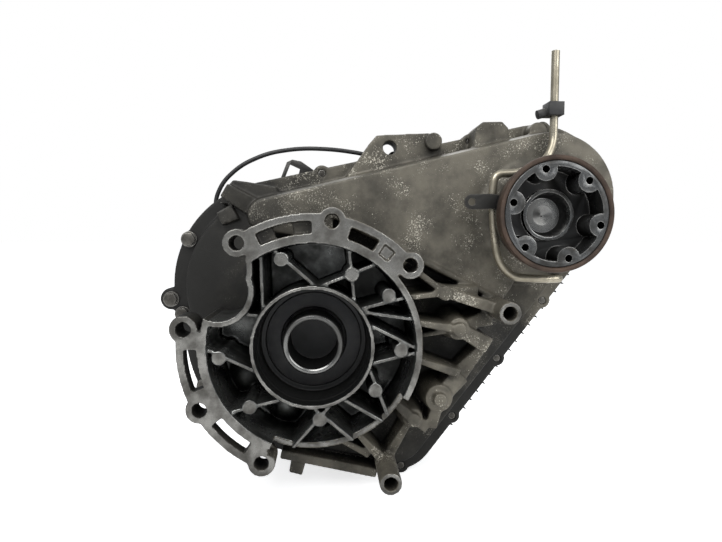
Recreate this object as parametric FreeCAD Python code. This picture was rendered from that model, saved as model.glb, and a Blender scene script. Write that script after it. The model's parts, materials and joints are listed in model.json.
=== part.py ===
"""Two-speed transfer case with a planetary range set, a centre differential and a chain drive.

Frame, in millimetres: the origin is the input axis where it crosses the gearbox mating face.
+X runs right as seen from the gearbox, +Z runs up, and +Y runs rearwards along the shafts.
Angles are measured in that front view, anticlockwise from +X.
"""

import FreeCAD
import Part
import math
import os
from FreeCAD import Vector

# ---------------------------------------------------------------- driving dimensions

# Shafts
CENTRE_DISTANCE = 260.0
CENTRE_ANGLE = 28.75
RUNNING = 0.05          # radial clearance of a shaft in its bearing
SEAL_GAP = 0.05         # radial clearance of a seal lip on its journal
FREE_GAP = 0.4          # clearance between parts that must never touch

# Depths along the shafts
MATING_DEPTH = 14.0
BELL_DEPTH = 68.0
BELL_FLOOR = 8.0
DECK_THICK = 8.0
JOINT_FACE = 104.0
FRONT_LIP = 10.0
REAR_LIP = 9.0
REAR_DEPTH = 120.0
REAR_WALL = 8.0

# Gearbox mating flange
MATING_HOLE_RADIUS = 6.75
MATING_BOSS_RADIUS = 13.0
MATING_CIRCLE = 120.0
MATING_ANGLES = (40.0, 81.0, 125.0, 171.0, 208.5, 246.0)
RAIL_INNER = 118.5
RAIL_OUTER = 126.0
POCKET_MARGIN = 9.0     # degrees left solid beside each bolt boss
POCKET_FLOOR = 7.0      # depth of the blind pockets

# Bell
BELL_RADIUS = 104.5
BELL_WALL = 6.5
LOW_RIM_DROP = 20.0
LOW_RIM_FROM = -113.0
LOW_RIM_TO = -30.0
RING_INNER = 55.0
RING_WALL = 3.5
REGISTER_DEPTH = 14.0   # counterbore that the gearbox spigot enters
REGISTER_STEP = 1.5
RING_DEPTH = 42.0
SCALLOP_X = -87.0
SCALLOP_Z = 54.0
SCALLOP_RADIUS = 28.0
SCALLOP_TOP_X = -92.0
SCALLOP_TOP_Z = 74.0
SCALLOP_TOP_RADIUS = 32.0
SCALLOP_WALL = 5.5
RIB_THICK = 3.4
RIB_FRONT = 4.0
PAD_RADIUS = 7.0
PAD_FRONT = 3.0
FLOOR_SWELL_RADIUS = 21.0

# Each rib runs straight from an angle on the input ring to an angle on the bell wall.
BELL_RIBS = ((145, 117), (85.5, 113), (85.5, 50.6), (45.2, 71.1), (39, 27), (35.8, 13.6),
             (22, -3), (-17.6, -3), (-20.5, -45), (-61.7, -47), (-70, -103), (-92, -66),
             (-119, -143), (-155, 179), (148, 160))
# Core-pin pads on the ribs: radius from the input axis, and angle.
BELL_PADS = ((88, 109), (78, 61.6), (87, 34), (88, -174), (82, -136.6), (70, -85), (73, -35.6),
             (84, -2.7))
FLOOR_SWELLS = ((84, -149), (80, -112))

# Casing outline at the joint face: four lobes with straight runs between them.
OUTPUT_LOBE_RIGHT = 20.0    # of the output axis
OUTPUT_LOBE_RISE = 20.0     # above the output axis
OUTPUT_LOBE_RADIUS = 83.0
SHOULDER_X = -38.0
SHOULDER_Z = 50.0
SHOULDER_RADIUS = 115.0
INPUT_LOBE_RADIUS = 142.0
SUMP_X = 90.0
SUMP_Z = -116.0
SUMP_RADIUS = 48.0
LIP_WIDTH = 14.0
CASE_WALL = 6.0
REAR_DRAFT = 7.0

# Chain-case panel in front of the deck
PANEL_FRONT = 50.0
PANEL_RADIUS = 73.0
CROWN_RADIUS = 71.0
PANEL_TIP_X = -50.0
PANEL_TIP_Z = 126.0
PANEL_TIP_RADIUS = 20.0
PANEL_WALL = 7.0
PANEL_DRAFT = 5.0
RIDGE_START = (20.0, 126.0)
RIDGE_END = (196.0, 36.0)
RIDGE_THICK = 6.0
RIDGE_PROUD = 3.0

# Output nose
NOSE_FRONT = 28.0
NOSE_RADIUS = 40.0
NOSE_STEP = 40.0
NOSE_FOOT_RADIUS = 62.0

# Long bolt lugs beside the bell, and the hanger lugs on top
LUG_RADIUS = 11.0
RIGHT_LUG = (188.3, 30.8)
LOWER_LUG = (74.4, -133.8)
HANGER_HOLE_RADIUS = 7.2
HANGER_BOSS_RADIUS = 15.0
HANGER_X = 81.0
HANGER_Z = 198.5
HANGER_DEPTH = 34.0

# Case bolts
CASE_BOLT_COUNT = 16
CASE_BOLT_RADIUS = 4.0
CASE_BOLT_BOSS = 9.0
CASE_BOLT_INSET = 5.0
FRONT_BOLTS_LEFT_OF = -100.0    # bolts right of this X go in from behind
EAR = (-156.0, 36.0)            # the bolt ear that stands out of the lip on the left
BOLT_HEAD = 6.5         # half the distance across flats
BOLT_HEAD_HEIGHT = 6.0
BOLT_FLANGE_HEIGHT = 1.6
SPOT_FACE = 3.0         # radial room round a bolt head
BOLT_SLACK = 0.3        # radial room round a bolt's shank

# Cooling fins
FIN_COUNT = 19
FIN_PITCH = 12.5
FIN_PROUD = 12.0        # beyond the joint lip
FIN_ROOT = 6.0
FIN_TIP = 1.4

# Input shaft
SHAFT_FRONT = 15.0
INPUT_TUBE_RADIUS = 29.5
INPUT_TUBE_BORE = 24.0
INPUT_BORE_DEPTH = 60.0
BEARING_SEAT = 47.5
BEARING_WIDTH = 16.0
SEAL_WIDTH = 8.0

# Planetary range set
MODULE = 2.25
SUN_TEETH = 30
PLANET_TEETH = 14
ANNULUS_TEETH = SUN_TEETH + 2 * PLANET_TEETH
PLANET_COUNT = 4
GEAR_FRONT = 88.0
GEAR_WIDTH = 20.0
ANNULUS_RADIUS = 74.0
PLANET_PIN_RADIUS = 7.0
CARRIER_THICK = 7.0
CARRIER_BORE = 30.0
SUN_BORE = 26.0

# Range shift
SLEEVE_TEETH = 24
SLEEVE_RADIUS = 24.5
SLEEVE_BORE = 19.0
SLEEVE_DOG = 8.0
GROOVE_RADIUS = 30.0
RAIL_RADIUS = 7.0
SHIFT_RAIL_ANGLE = 128.0
SHIFT_RAIL_OFFSET = 91.0
SCREW_SPACING = 24.0
SCREW_RADIUS = 5.0
MOTOR_RADIUS = 24.0
MOTOR_LENGTH = 58.0

# Mainshaft and centre differential
MAINSHAFT_RADIUS = 18.0
SPROCKET_FRONT = 144.0
SPROCKET_WIDTH = 20.0
SPROCKET_TEETH = 20
CHAIN_PITCH = 15.875
CHAIN_PLATE = 2.5
DIFF_FRONT = 168.0
DIFF_RADIUS = 50.0
DIFF_LENGTH = 40.0
DIFF_WALL = 4.0
DIFF_SHAFT_RADIUS = 15.0
BEVEL_MODULE = 2.5
BEVEL_INNER = 0.7       # the teeth's inner ends, as a share of the cone
PINION_TEETH = 10
SIDE_TEETH = 22
PUMP_RADIUS = 56.0
PUMP_PLUG_RADIUS = 51.0
PUMP_POCKET_RADIUS = 33.0
PUMP_TEETH = 10
PICKUP_RADIUS = 3.5

# Rear output
TAIL_LENGTH = 52.0
TAIL_RADIUS = 58.0
TAIL_BOLT_COUNT = 6
REAR_FLANGE_RADIUS = 50.0
REAR_FLANGE_THICK = 12.0
REAR_FLANGE_CIRCLE = 40.0
REAR_FLANGE_HOLES = 4
REAR_FLANGE_HOLE_RADIUS = 5.2

# Front output flange
FLANGE_FACE = -8.0
FLANGE_RADIUS = 50.0
FLANGE_REAR = 22.0
FLANGE_FLOOR = 18.0
CUP_RADIUS = 44.0
FLANGE_CIRCLE = 43.0
FLANGE_HOLES = 6
FLANGE_HOLE_ANGLE = 46.0
FLANGE_HOLE_RADIUS = 3.4
FLANGE_HOLE_DEPTH = 22.0
LOBE_RADIUS = 11.0
HUB_RING_RADIUS = 25.0
HUB_BORE = 21.5
HUB_RING_FRONT = 12.0
HUB_FLOOR = 27.0
OUTPUT_JOURNAL = 30.0
OUTPUT_SHAFT_RADIUS = 17.0
DEFLECTOR_THICK = 4.0
DEFLECTOR_LENGTH = 17.0

# Breather pipe and harness
PIPE_RADIUS = 4.0
PIPE_BORE = 2.6
CABLE_RADIUS = 2.5

# ---------------------------------------------------------------- derived places

OUT_X = CENTRE_DISTANCE * math.cos(math.radians(CENTRE_ANGLE))
OUT_Z = CENTRE_DISTANCE * math.sin(math.radians(CENTRE_ANGLE))
OUT = (OUT_X, OUT_Z)
DECK_FRONT = BELL_DEPTH + BELL_FLOOR
DECK_BACK = DECK_FRONT + DECK_THICK
RING_OUTER = RING_INNER + RING_WALL
BELL_INNER = BELL_RADIUS - BELL_WALL
REAR_BACK = JOINT_FACE + REAR_DEPTH
GEAR_BACK = GEAR_FRONT + GEAR_WIDTH
PLANET_ORBIT = MODULE * (SUN_TEETH + PLANET_TEETH) / 2
SPROCKET_MIDDLE = SPROCKET_FRONT + SPROCKET_WIDTH / 2
SPROCKET_RADIUS = CHAIN_PITCH / 2 / math.sin(math.pi / SPROCKET_TEETH)
BEARING_FRONT = BELL_DEPTH - BEARING_WIDTH
OUTPUT_LOBE_X = OUT_X + OUTPUT_LOBE_RIGHT
OUTPUT_LOBE_Z = OUT_Z + OUTPUT_LOBE_RISE
CASE_LOBES = ((OUTPUT_LOBE_X, OUTPUT_LOBE_Z, OUTPUT_LOBE_RADIUS),
              (SHOULDER_X, SHOULDER_Z, SHOULDER_RADIUS),
              (0.0, 0.0, INPUT_LOBE_RADIUS), (SUMP_X, SUMP_Z, SUMP_RADIUS))
PANEL_LOBES = ((OUT_X, OUT_Z, PANEL_RADIUS), (OUTPUT_LOBE_X, OUTPUT_LOBE_Z, CROWN_RADIUS),
               (PANEL_TIP_X, PANEL_TIP_Z, PANEL_TIP_RADIUS))

REARWARDS = Vector(0, 1, 0)
PIECES = {}


# ---------------------------------------------------------------- drawing helpers

def polar(radius, degrees, centre=(0.0, 0.0)):
    """The (x, z) point at a radius and angle round a centre."""
    turn = math.radians(degrees)
    return centre[0] + radius * math.cos(turn), centre[1] + radius * math.sin(turn)


def rod(radius, front, back, centre=(0.0, 0.0)):
    """A cylinder along the shafts."""
    return Part.makeCylinder(radius, back - front, Vector(centre[0], front, centre[1]), REARWARDS)


def tube(outer, inner, front, back, centre=(0.0, 0.0)):
    """A straight ring along the shafts."""
    return rod(outer, front, back, centre).cut(rod(inner, front - 1, back + 1, centre))


def turned(profile, centre=(0.0, 0.0)):
    """Revolve a closed profile of (radius, depth) points about a line along the shafts."""
    points = [Vector(centre[0] + r, y, centre[1]) for r, y in profile]
    face = Part.Face(Part.makePolygon(points + points[:1]))
    return face.revolve(Vector(centre[0], 0, centre[1]), REARWARDS, 360)


def sector(inner, outer, start, end, front, back, centre=(0.0, 0.0)):
    """A curved bar between two radii and two angles."""
    middle = (start + end) / 2

    def at(radius, degrees):
        x, z = polar(radius, degrees, centre)
        return Vector(x, front, z)

    edges = [Part.Arc(at(outer, start), at(outer, middle), at(outer, end)).toShape(),
             Part.makeLine(at(outer, end), at(inner, end)),
             Part.Arc(at(inner, end), at(inner, middle), at(inner, start)).toShape(),
             Part.makeLine(at(inner, start), at(outer, start))]
    return Part.Face(Part.Wire(edges)).extrude(REARWARDS * (back - front))


def belt(lobes, offset, y):
    """The closed wire round several circles in anticlockwise order, with tangents between them."""
    normals = []
    count = len(lobes)
    for i in range(count):
        x0, z0, r0 = lobes[i]
        x1, z1, r1 = lobes[(i + 1) % count]
        span = math.hypot(x1 - x0, z1 - z0)
        heading = math.atan2(z1 - z0, x1 - x0)
        normals.append(heading - math.acos((r0 - r1) / span))
    edges = []
    for i in range(count):
        x, z, r = lobes[i]
        r += offset
        begin = normals[i - 1]
        end = normals[i]
        while end < begin:
            end += 2 * math.pi
        arc = [Vector(x + r * math.cos(a), y, z + r * math.sin(a))
               for a in (begin, (begin + end) / 2, end)]
        edges.append(Part.Arc(*arc).toShape())
        nx, nz, nr = lobes[(i + 1) % count]
        nr += offset
        tip = Vector(nx + nr * math.cos(normals[i]), y, nz + nr * math.sin(normals[i]))
        edges.append(Part.makeLine(arc[2], tip))
    return Part.Wire(edges)


def slab(lobes, offset, front, back):
    """A plate with a belt outline."""
    return Part.Face(belt(lobes, offset, front)).extrude(REARWARDS * (back - front))


def drafted(lobes, front, front_offset, back, back_offset):
    """A block with a belt outline whose sides taper from front to back."""
    wires = [belt(lobes, front_offset, front), belt(lobes, back_offset, back)]
    return Part.makeLoft(wires, True, True)


def wall(start, end, thick, front, back):
    """A straight upright wall between two (x, z) points."""
    run = Vector(end[0] - start[0], 0, end[1] - start[1])
    length = run.Length
    side = Vector(-run.z, 0, run.x) * (thick / 2 / length)
    a = Vector(start[0], front, start[1])
    b = Vector(end[0], front, end[1])
    corners = [a + side, b + side, b - side, a - side]
    face = Part.Face(Part.makePolygon(corners + corners[:1]))
    return face.extrude(REARWARDS * (back - front))


def prism(points, front, back):
    """Extrude a polygon of (x, z) points along the shafts."""
    corners = [Vector(x, front, z) for x, z in points]
    return Part.Face(Part.makePolygon(corners + corners[:1])).extrude(REARWARDS * (back - front))


def hexagon(half_flats, front, back, centre):
    """A hexagonal bar along the shafts."""
    return prism([polar(half_flats / math.cos(math.pi / 6), 60 * i, centre) for i in range(6)],
                 front, back)


def bolt(centre, head_face, end, radius=CASE_BOLT_RADIUS, facing=-1):
    """A flanged hexagon bolt. Its head stands in front of head_face, or behind it if facing is 1."""
    step = facing * BOLT_FLANGE_HEIGHT
    top = facing * BOLT_HEAD_HEIGHT
    flange = rod(BOLT_HEAD + 2, min(head_face, head_face + step), max(head_face, head_face + step),
                 centre)
    head = hexagon(BOLT_HEAD, min(head_face, head_face + top), max(head_face, head_face + top),
                   centre)
    shank = rod(radius, min(head_face, end), max(head_face, end), centre)
    return flange.multiFuse([head, shank]).removeSplitter()


def gear_wire(teeth, module, y, phase=0.0, addendum=0.85, dedendum=1.15, slack=0.16, scale=1.0):
    """A toothed outline with straight flanks. At phase 0 a tooth points along +X."""
    pitch = module * teeth / 2
    tip = pitch + addendum * module
    root = pitch - dedendum * module
    half_pitch = (math.pi * module / 2 - slack * module) / 2 / pitch
    lean = math.tan(math.radians(20))
    half_tip = half_pitch - addendum * module * lean / pitch
    half_root = half_pitch + dedendum * module * lean / pitch
    points = []
    for i in range(teeth):
        middle = math.radians(phase) + 2 * math.pi * i / teeth
        for radius, turn in ((root, -half_root), (tip, -half_tip), (tip, half_tip),
                             (root, half_root)):
            points.append(Vector(scale * radius * math.cos(middle + turn), y,
                                 scale * radius * math.sin(middle + turn)))
    return Part.makePolygon(points + points[:1])


def gear(teeth, module, front, back, phase=0.0, centre=(0.0, 0.0), **form):
    """A straight-toothed gear along the shafts."""
    body = Part.Face(gear_wire(teeth, module, front, phase, **form)).extrude(
        REARWARDS * (back - front))
    body.translate(Vector(centre[0], 0, centre[1]))
    return body


def piped(points, radius, share=0.45, bends=None):
    """A round bar along straight runs joined by tangent arcs. Also gives the arcs' radii."""
    path = [Vector(*p) for p in points]
    edges = []
    radii = []
    last = path[0]
    for i in range(1, len(path) - 1):
        before = path[i] - path[i - 1]
        after = path[i + 1] - path[i]
        turn = before.getAngle(after)
        reach = share * min(before.Length, after.Length)
        if bends:
            reach = min(reach, bends * math.tan(turn / 2))
        before.normalize()
        after.normalize()
        begin = path[i] - before * reach
        end = path[i] + after * reach
        radius_here = reach / math.tan(turn / 2)
        inward = after - before
        inward.normalize()
        middle = path[i] + inward * (radius_here / math.cos(turn / 2) - radius_here)
        edges.append(Part.makeLine(last, begin))
        edges.append(Part.Arc(begin, middle, end).toShape())
        radii.append(round(radius_here, 1))
        last = end
    edges.append(Part.makeLine(last, path[-1]))
    spine = Part.Wire(edges)
    section = Part.Wire(Part.makeCircle(radius, path[0], path[1] - path[0]))
    return spine.makePipeShell([section], True, False), radii


def joined(first, *others):
    """Fuse solids into one and drop the seams."""
    return first.multiFuse(list(others)).removeSplitter()


def group(solids):
    """Separate solids that share one node."""
    return Part.makeCompound(list(solids))


def keep(name, shape):
    """Record a finished piece under its node name."""
    PIECES[name] = shape


# ---------------------------------------------------------------- bell housing

def mating_flange():
    """The flange bands with their through pockets and six bolt bosses, before boring."""
    parts = []
    runs = ((MATING_ANGLES[0], MATING_ANGLES[1]), (MATING_ANGLES[1], MATING_ANGLES[2]),
            (MATING_ANGLES[3], MATING_ANGLES[4]), (MATING_ANGLES[4], MATING_ANGLES[5]))
    for start, end in runs:
        parts.append(sector(BELL_RADIUS - 1, RAIL_OUTER, start, end, 0, MATING_DEPTH))
    bands = parts[0].multiFuse(parts[1:])
    first, second, third, last = runs
    slots = [(first[1] - POCKET_MARGIN - 14, first[1] - POCKET_MARGIN, MATING_DEPTH + 1),
             (first[0] + POCKET_MARGIN, first[1] - POCKET_MARGIN - 17, POCKET_FLOOR / 2),
             (second[0] + POCKET_MARGIN, second[1] - POCKET_MARGIN, POCKET_FLOOR),
             (second[0] + POCKET_MARGIN + 9, second[1] - POCKET_MARGIN - 8, MATING_DEPTH + 1),
             (third[0] + POCKET_MARGIN, third[1] - POCKET_MARGIN, MATING_DEPTH + 1),
             (last[0] + POCKET_MARGIN, last[1] - POCKET_MARGIN, MATING_DEPTH + 1)]
    for start, end, deep in slots:
        bands = bands.cut(sector(BELL_RADIUS + 2.5, RAIL_INNER, start, end, -1, deep))
    bosses = [rod(MATING_BOSS_RADIUS, 0, 2 * MATING_DEPTH, polar(MATING_CIRCLE, a))
              for a in MATING_ANGLES]
    return bands.multiFuse(bosses)


def scallop(margin, back):
    """The hollow scooped out of the bell's upper left side, grown by a margin."""
    lower = rod(SCALLOP_RADIUS + margin, -2, back, (SCALLOP_X, SCALLOP_Z))
    upper = rod(SCALLOP_TOP_RADIUS + margin, -2, back, (SCALLOP_TOP_X, SCALLOP_TOP_Z))
    return lower.fuse(upper)


def bell_housing():
    """The open bell: wall, input ring, star ribs, pads, scallop and gearbox mating flange."""
    cavity = rod(BELL_INNER, -1, BELL_DEPTH)
    guard = scallop(SCALLOP_WALL, BELL_DEPTH + 1)
    boss = rod(MATING_BOSS_RADIUS, 0, 2 * MATING_DEPTH, polar(MATING_CIRCLE, MATING_ANGLES[2]))
    shell = joined(rod(BELL_RADIUS, 0, DECK_FRONT), mating_flange())
    shell = shell.cut(cavity.cut(guard))
    low = sector(BELL_INNER - 6, BELL_RADIUS + 6, LOW_RIM_FROM, LOW_RIM_TO, -1, LOW_RIM_DROP)
    shell = shell.cut(low)
    inner = []
    for ring_angle, wall_angle in BELL_RIBS:
        inner.append(wall(polar(RING_OUTER - 2, ring_angle), polar(BELL_RADIUS, wall_angle),
                          RIB_THICK, RIB_FRONT, BELL_DEPTH + 1))
    for radius, angle in BELL_PADS:
        inner.append(rod(PAD_RADIUS, PAD_FRONT, BELL_DEPTH + 1, polar(radius, angle)))
    for radius, angle in FLOOR_SWELLS:
        swell = Part.makeSphere(FLOOR_SWELL_RADIUS, Vector(polar(radius, angle)[0],
                                BELL_DEPTH + FLOOR_SWELL_RADIUS * 0.4, polar(radius, angle)[1]))
        inner.append(swell)
    room = rod(BELL_INNER + 1, -1, DECK_FRONT - 1)
    star = inner[0].multiFuse(inner[1:]).common(room)
    ring = rod(RING_OUTER, 0, DECK_FRONT)
    shell = joined(shell, star, ring)
    shell = shell.cut(scallop(0, DECK_FRONT + 1).cut(boss))
    shell = shell.cut(rod(RING_INNER, -1, REGISTER_DEPTH))
    shell = shell.cut(rod(RING_INNER - REGISTER_STEP, -1, RING_DEPTH))
    shell = shell.cut(rod(BEARING_SEAT, -1, BEARING_FRONT + BEARING_WIDTH))
    shell = shell.cut(rod(BEARING_SEAT - 6, -1, DECK_FRONT + 1))
    for angle in MATING_ANGLES:
        shell = shell.cut(rod(MATING_HOLE_RADIUS, -1, 2 * MATING_DEPTH + 1,
                              polar(MATING_CIRCLE, angle)))
    keep("bell_housing", shell.removeSplitter())


# ---------------------------------------------------------------- front casing

def case_bolt_places():
    """Bolt centres spaced evenly round the joint lip."""
    track = belt(CASE_LOBES, -CASE_BOLT_INSET, 0.0)
    points = track.discretize(Number=CASE_BOLT_COUNT + 1)[:-1]
    return [(p.x, p.z) for p in points] + [EAR]


def from_front(place):
    """Whether a case bolt's head is on the front lip."""
    return place[0] < FRONT_BOLTS_LEFT_OF


def lip(front, back):
    """The bolted lip of one casing half, with a boss at each bolt."""
    plate = slab(CASE_LOBES, 0, front, back)
    bosses = [rod(CASE_BOLT_BOSS, front, back, place) for place in case_bolt_places()]
    bosses.append(rod(CASE_BOLT_BOSS + 3, front, back, EAR))
    bosses.append(wall(EAR, (EAR[0] + 24, EAR[1] - 4), 20, front, back))
    body = plate.multiFuse(bosses)
    holes = [rod(CASE_BOLT_RADIUS, front - 1, back + 1, place) for place in case_bolt_places()]
    return body.cut(holes[0].multiFuse(holes[1:]))


def brace(start, end, widths, fronts):
    """A cast brace whose width and front edge change from its start to its end."""
    run = Vector(end[0] - start[0], 0, end[1] - start[1])
    side = Vector(-run.z, 0, run.x) * (0.5 / run.Length)
    ends = []
    for place, width, front in zip((start, end), widths, fronts):
        left = Vector(place[0], 0, place[1]) + side * width
        right = Vector(place[0], 0, place[1]) - side * width
        corners = [left + REARWARDS * front, right + REARWARDS * front,
                   right + REARWARDS * (DECK_FRONT + 1), left + REARWARDS * (DECK_FRONT + 1)]
        ends.append(Part.makePolygon(corners + corners[:1]))
    return Part.makeLoft(ends, True, True)


def braces():
    """The braces and pads that spread from the bell over the lower right of the deck."""
    pad_n = (128.0, 49.5)
    pad_m = (144.0, 12.5)
    pad_q = (101.0, -82.0)
    pad_r = (128.0, -62.0)
    corner = polar(MATING_CIRCLE, MATING_ANGLES[0])
    runs = ((corner, pad_n, (5, 6), (6, 12)), (pad_n, RIGHT_LUG, (9, 12), (14, 20)),
            (polar(100, 27), pad_n, (5, 6), (8, 12)), (pad_n, (168, 47), (10, 14), (14, 40)),
            (polar(100, 12), pad_m, (5, 9), (12, 18)), (pad_m, (179, -8), (13, 17), (20, 34)),
            (pad_m, (184, 22), (8, 20), (26, 44)), (polar(100, 2), pad_m, (4, 7), (30, 24)),
            (polar(100, -9), (150, -38), (5, 10), (14, 40)),
            (polar(100, -38), pad_q, (7, 11), (30, 30)), (pad_q, (119, -96), (9, 13), (32, 44)),
            (pad_r, (121, -96), (12, 13), (33, 44)), (pad_r, (154, -40), (16, 22), (33, 48)),
            (pad_q, LOWER_LUG, (6, 12), (40, 52)), (polar(100, -66), LOWER_LUG, (5, 10), (30, 44)),
            (polar(100, -80), (58, -124), (4, 9), (36, 46)),
            ((179, -8), (154, -40), (8, 18), (46, 52)))
    parts = [brace(*run) for run in runs]
    for place, front in ((pad_n, 10), (pad_m, 15), (pad_q, 28), (pad_r, 29)):
        parts.append(rod(PAD_RADIUS, front, DECK_FRONT + 1, place))
    for place, radius, front in ((pad_r, 14, 36), (pad_q, 10, 36), (pad_m, 11, 22)):
        parts.append(Part.makeCone(radius + 6, radius, DECK_FRONT + 1 - front,
                                   Vector(place[0], DECK_FRONT + 1, place[1]), -REARWARDS))
    return parts


def hanger_lugs():
    """The top hanger lug with its through hole, and the cast bosses beside it."""
    front = JOINT_FACE - HANGER_DEPTH
    lug = prism(((HANGER_X - 46, HANGER_Z - 30), (HANGER_X - 22, HANGER_Z + 4),
                 (HANGER_X - 14, HANGER_Z + 13), (HANGER_X + 42, HANGER_Z + 16),
                 (HANGER_X + 52, HANGER_Z + 10), (HANGER_X + 58, HANGER_Z - 8),
                 (HANGER_X + 50, HANGER_Z - 24)), front + 8, JOINT_FACE)
    end = rod(9, front, JOINT_FACE, (HANGER_X + 46, HANGER_Z + 6))
    boss = prism(((169, 196), (172, 219), (179, 225), (200, 226), (207, 219), (209, 202)),
                 front, JOINT_FACE)
    small = rod(10, front + 6, JOINT_FACE, (OUT_X + 14, OUT_Z + 92))
    left = prism(((-98, 138), (-94, 152), (-84, 163), (-68, 161), (-40, 156), (-34, 140)),
                 front + 4, JOINT_FACE)
    arm = brace((-92, 152), (-62, 134), (15, 20), (front - 6, front + 2))
    spur = brace((-98, 122), (-82, 130), (14, 18), (front - 2, front + 2))
    return [lug, end, boss, small, left, arm, spur]


def below_ridge(margin):
    """The space under the panel's ridge line, kept a margin clear of it."""
    run = Vector(RIDGE_END[0] - RIDGE_START[0], 0, RIDGE_END[1] - RIDGE_START[1])
    lift = Vector(-run.z, 0, run.x) * (margin / run.Length)
    start = (RIDGE_START[0] + lift.x - margin, RIDGE_START[1] + lift.z)
    end = (RIDGE_END[0] + lift.x, RIDGE_END[1] + lift.z)
    return prism((start, end, (RIDGE_END[0] + margin, 0), (start[0], 0)), PANEL_FRONT - 1,
                 DECK_FRONT + margin)


def front_casing():
    """Deck, chain-case panel, output nose, braces, lugs and the front joint lip."""
    deck = drafted(CASE_LOBES, DECK_FRONT, -LIP_WIDTH - 4, JOINT_FACE, -LIP_WIDTH)
    panel = drafted(PANEL_LOBES, PANEL_FRONT, -PANEL_DRAFT, DECK_FRONT + 2, 0)
    panel = panel.cut(below_ridge(0))
    ridge = wall(RIDGE_START, RIDGE_END, RIDGE_THICK, PANEL_FRONT - RIDGE_PROUD, DECK_FRONT + 1)
    apron = prism((RIDGE_START, RIDGE_END, (206, 50), (214, 66), (120, 100)), PANEL_FRONT,
                  DECK_FRONT + 1)
    nose = turned(((0, NOSE_FRONT), (NOSE_RADIUS, NOSE_FRONT), (NOSE_RADIUS, NOSE_STEP),
                   (NOSE_FOOT_RADIUS, PANEL_FRONT + 1), (0, PANEL_FRONT + 1)), OUT)
    lugs = [rod(LUG_RADIUS, 0, DECK_FRONT + 1, place) for place in (RIGHT_LUG, LOWER_LUG)]
    skirt_back = JOINT_FACE - FRONT_LIP + 1
    skirt = wall((-36, -126), (66, -150), 10, 58, skirt_back)
    foot = wall((-26, -140), (-12, -144), 16, 62, skirt_back)
    outer = deck.multiFuse([panel, ridge, apron, nose, skirt, foot] + lugs + braces() + hanger_lugs()
                           + [lip(JOINT_FACE - FRONT_LIP, JOINT_FACE)])
    room = drafted(CASE_LOBES, DECK_BACK, -LIP_WIDTH - 4 - CASE_WALL, JOINT_FACE + 1,
                   -LIP_WIDTH - CASE_WALL)
    panel_room = drafted(PANEL_LOBES, PANEL_FRONT + PANEL_WALL, -PANEL_DRAFT - PANEL_WALL,
                         DECK_BACK + 1, -PANEL_WALL)
    panel_room = panel_room.cut(below_ridge(PANEL_WALL))
    body = outer.cut(room.multiFuse([panel_room]))
    seat = tube(ANNULUS_RADIUS + 8, ANNULUS_RADIUS, DECK_FRONT, GEAR_BACK)
    nose_seat = tube(NOSE_RADIUS, OUTPUT_JOURNAL + 6, NOSE_FRONT, PANEL_FRONT + PANEL_WALL + 14,
                     OUT)
    body = body.multiFuse([seat, nose_seat])
    body = body.cut(rod(ANNULUS_RADIUS, DECK_FRONT - 1, GEAR_BACK + 1))
    body = body.cut(rod(OUTPUT_JOURNAL + 6, NOSE_FRONT - 1, PANEL_FRONT + PANEL_WALL + 15, OUT))
    body = body.cut(rod(BELL_RADIUS, -1, DECK_FRONT))
    body = body.cut(rod(MATING_BOSS_RADIUS, -1, 2 * MATING_DEPTH,
                        polar(MATING_CIRCLE, MATING_ANGLES[0])))
    for place in (RIGHT_LUG, LOWER_LUG):
        body = body.cut(rod(MATING_HOLE_RADIUS, -1, DECK_FRONT - 10, place))
    body = body.cut(rod(HANGER_HOLE_RADIUS, 0, JOINT_FACE + 1, (HANGER_X, HANGER_Z)))
    lip_front = JOINT_FACE - FRONT_LIP
    for place in case_bolt_places():
        body = body.cut(rod(CASE_BOLT_RADIUS, lip_front, JOINT_FACE + 1, place))
        if from_front(place):
            body = body.cut(rod(BOLT_HEAD + SPOT_FACE, PANEL_FRONT, lip_front, place))
    keep("front_casing", body.removeSplitter())


# ---------------------------------------------------------------- rear casing

def cooling_fins():
    """Sharp fins across the straight lower right side of the rear casing."""
    x0, z0, r0 = CASE_LOBES[3]
    x1, z1, r1 = CASE_LOBES[0]
    heading = math.atan2(z1 - z0, x1 - x0)
    normal = heading - math.acos((r0 - r1) / math.hypot(x1 - x0, z1 - z0))
    out = (math.cos(normal), math.sin(normal))
    run = (-out[1], out[0])
    middle_x = (x0 + r0 * out[0] + x1 + r1 * out[0]) / 2
    middle_z = (z0 + r0 * out[1] + z1 + r1 * out[1]) / 2
    fins = []
    for i in range(FIN_COUNT):
        along = (i - (FIN_COUNT - 1) / 2) * FIN_PITCH
        foot = (middle_x + run[0] * along, middle_z + run[1] * along)

        def spot(side, proud):
            return (foot[0] + run[0] * side + out[0] * proud,
                    foot[1] + run[1] * side + out[1] * proud)

        deep = -LIP_WIDTH - REAR_DRAFT - 1
        profile = (spot(-FIN_ROOT / 2, deep), spot(FIN_ROOT / 2, deep),
                   spot(FIN_TIP / 2 + 1.5, FIN_PROUD),
                   spot(-FIN_TIP / 2 + 1.5, FIN_PROUD))
        fins.append(prism(profile, JOINT_FACE + REAR_LIP, REAR_BACK - 14))
    return fins


def rear_walls():
    """The drafted outside of the rear casing behind its lip."""
    return drafted(CASE_LOBES, JOINT_FACE + REAR_LIP - 0.01, -LIP_WIDTH, REAR_BACK,
                   -LIP_WIDTH - REAR_DRAFT)


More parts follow.
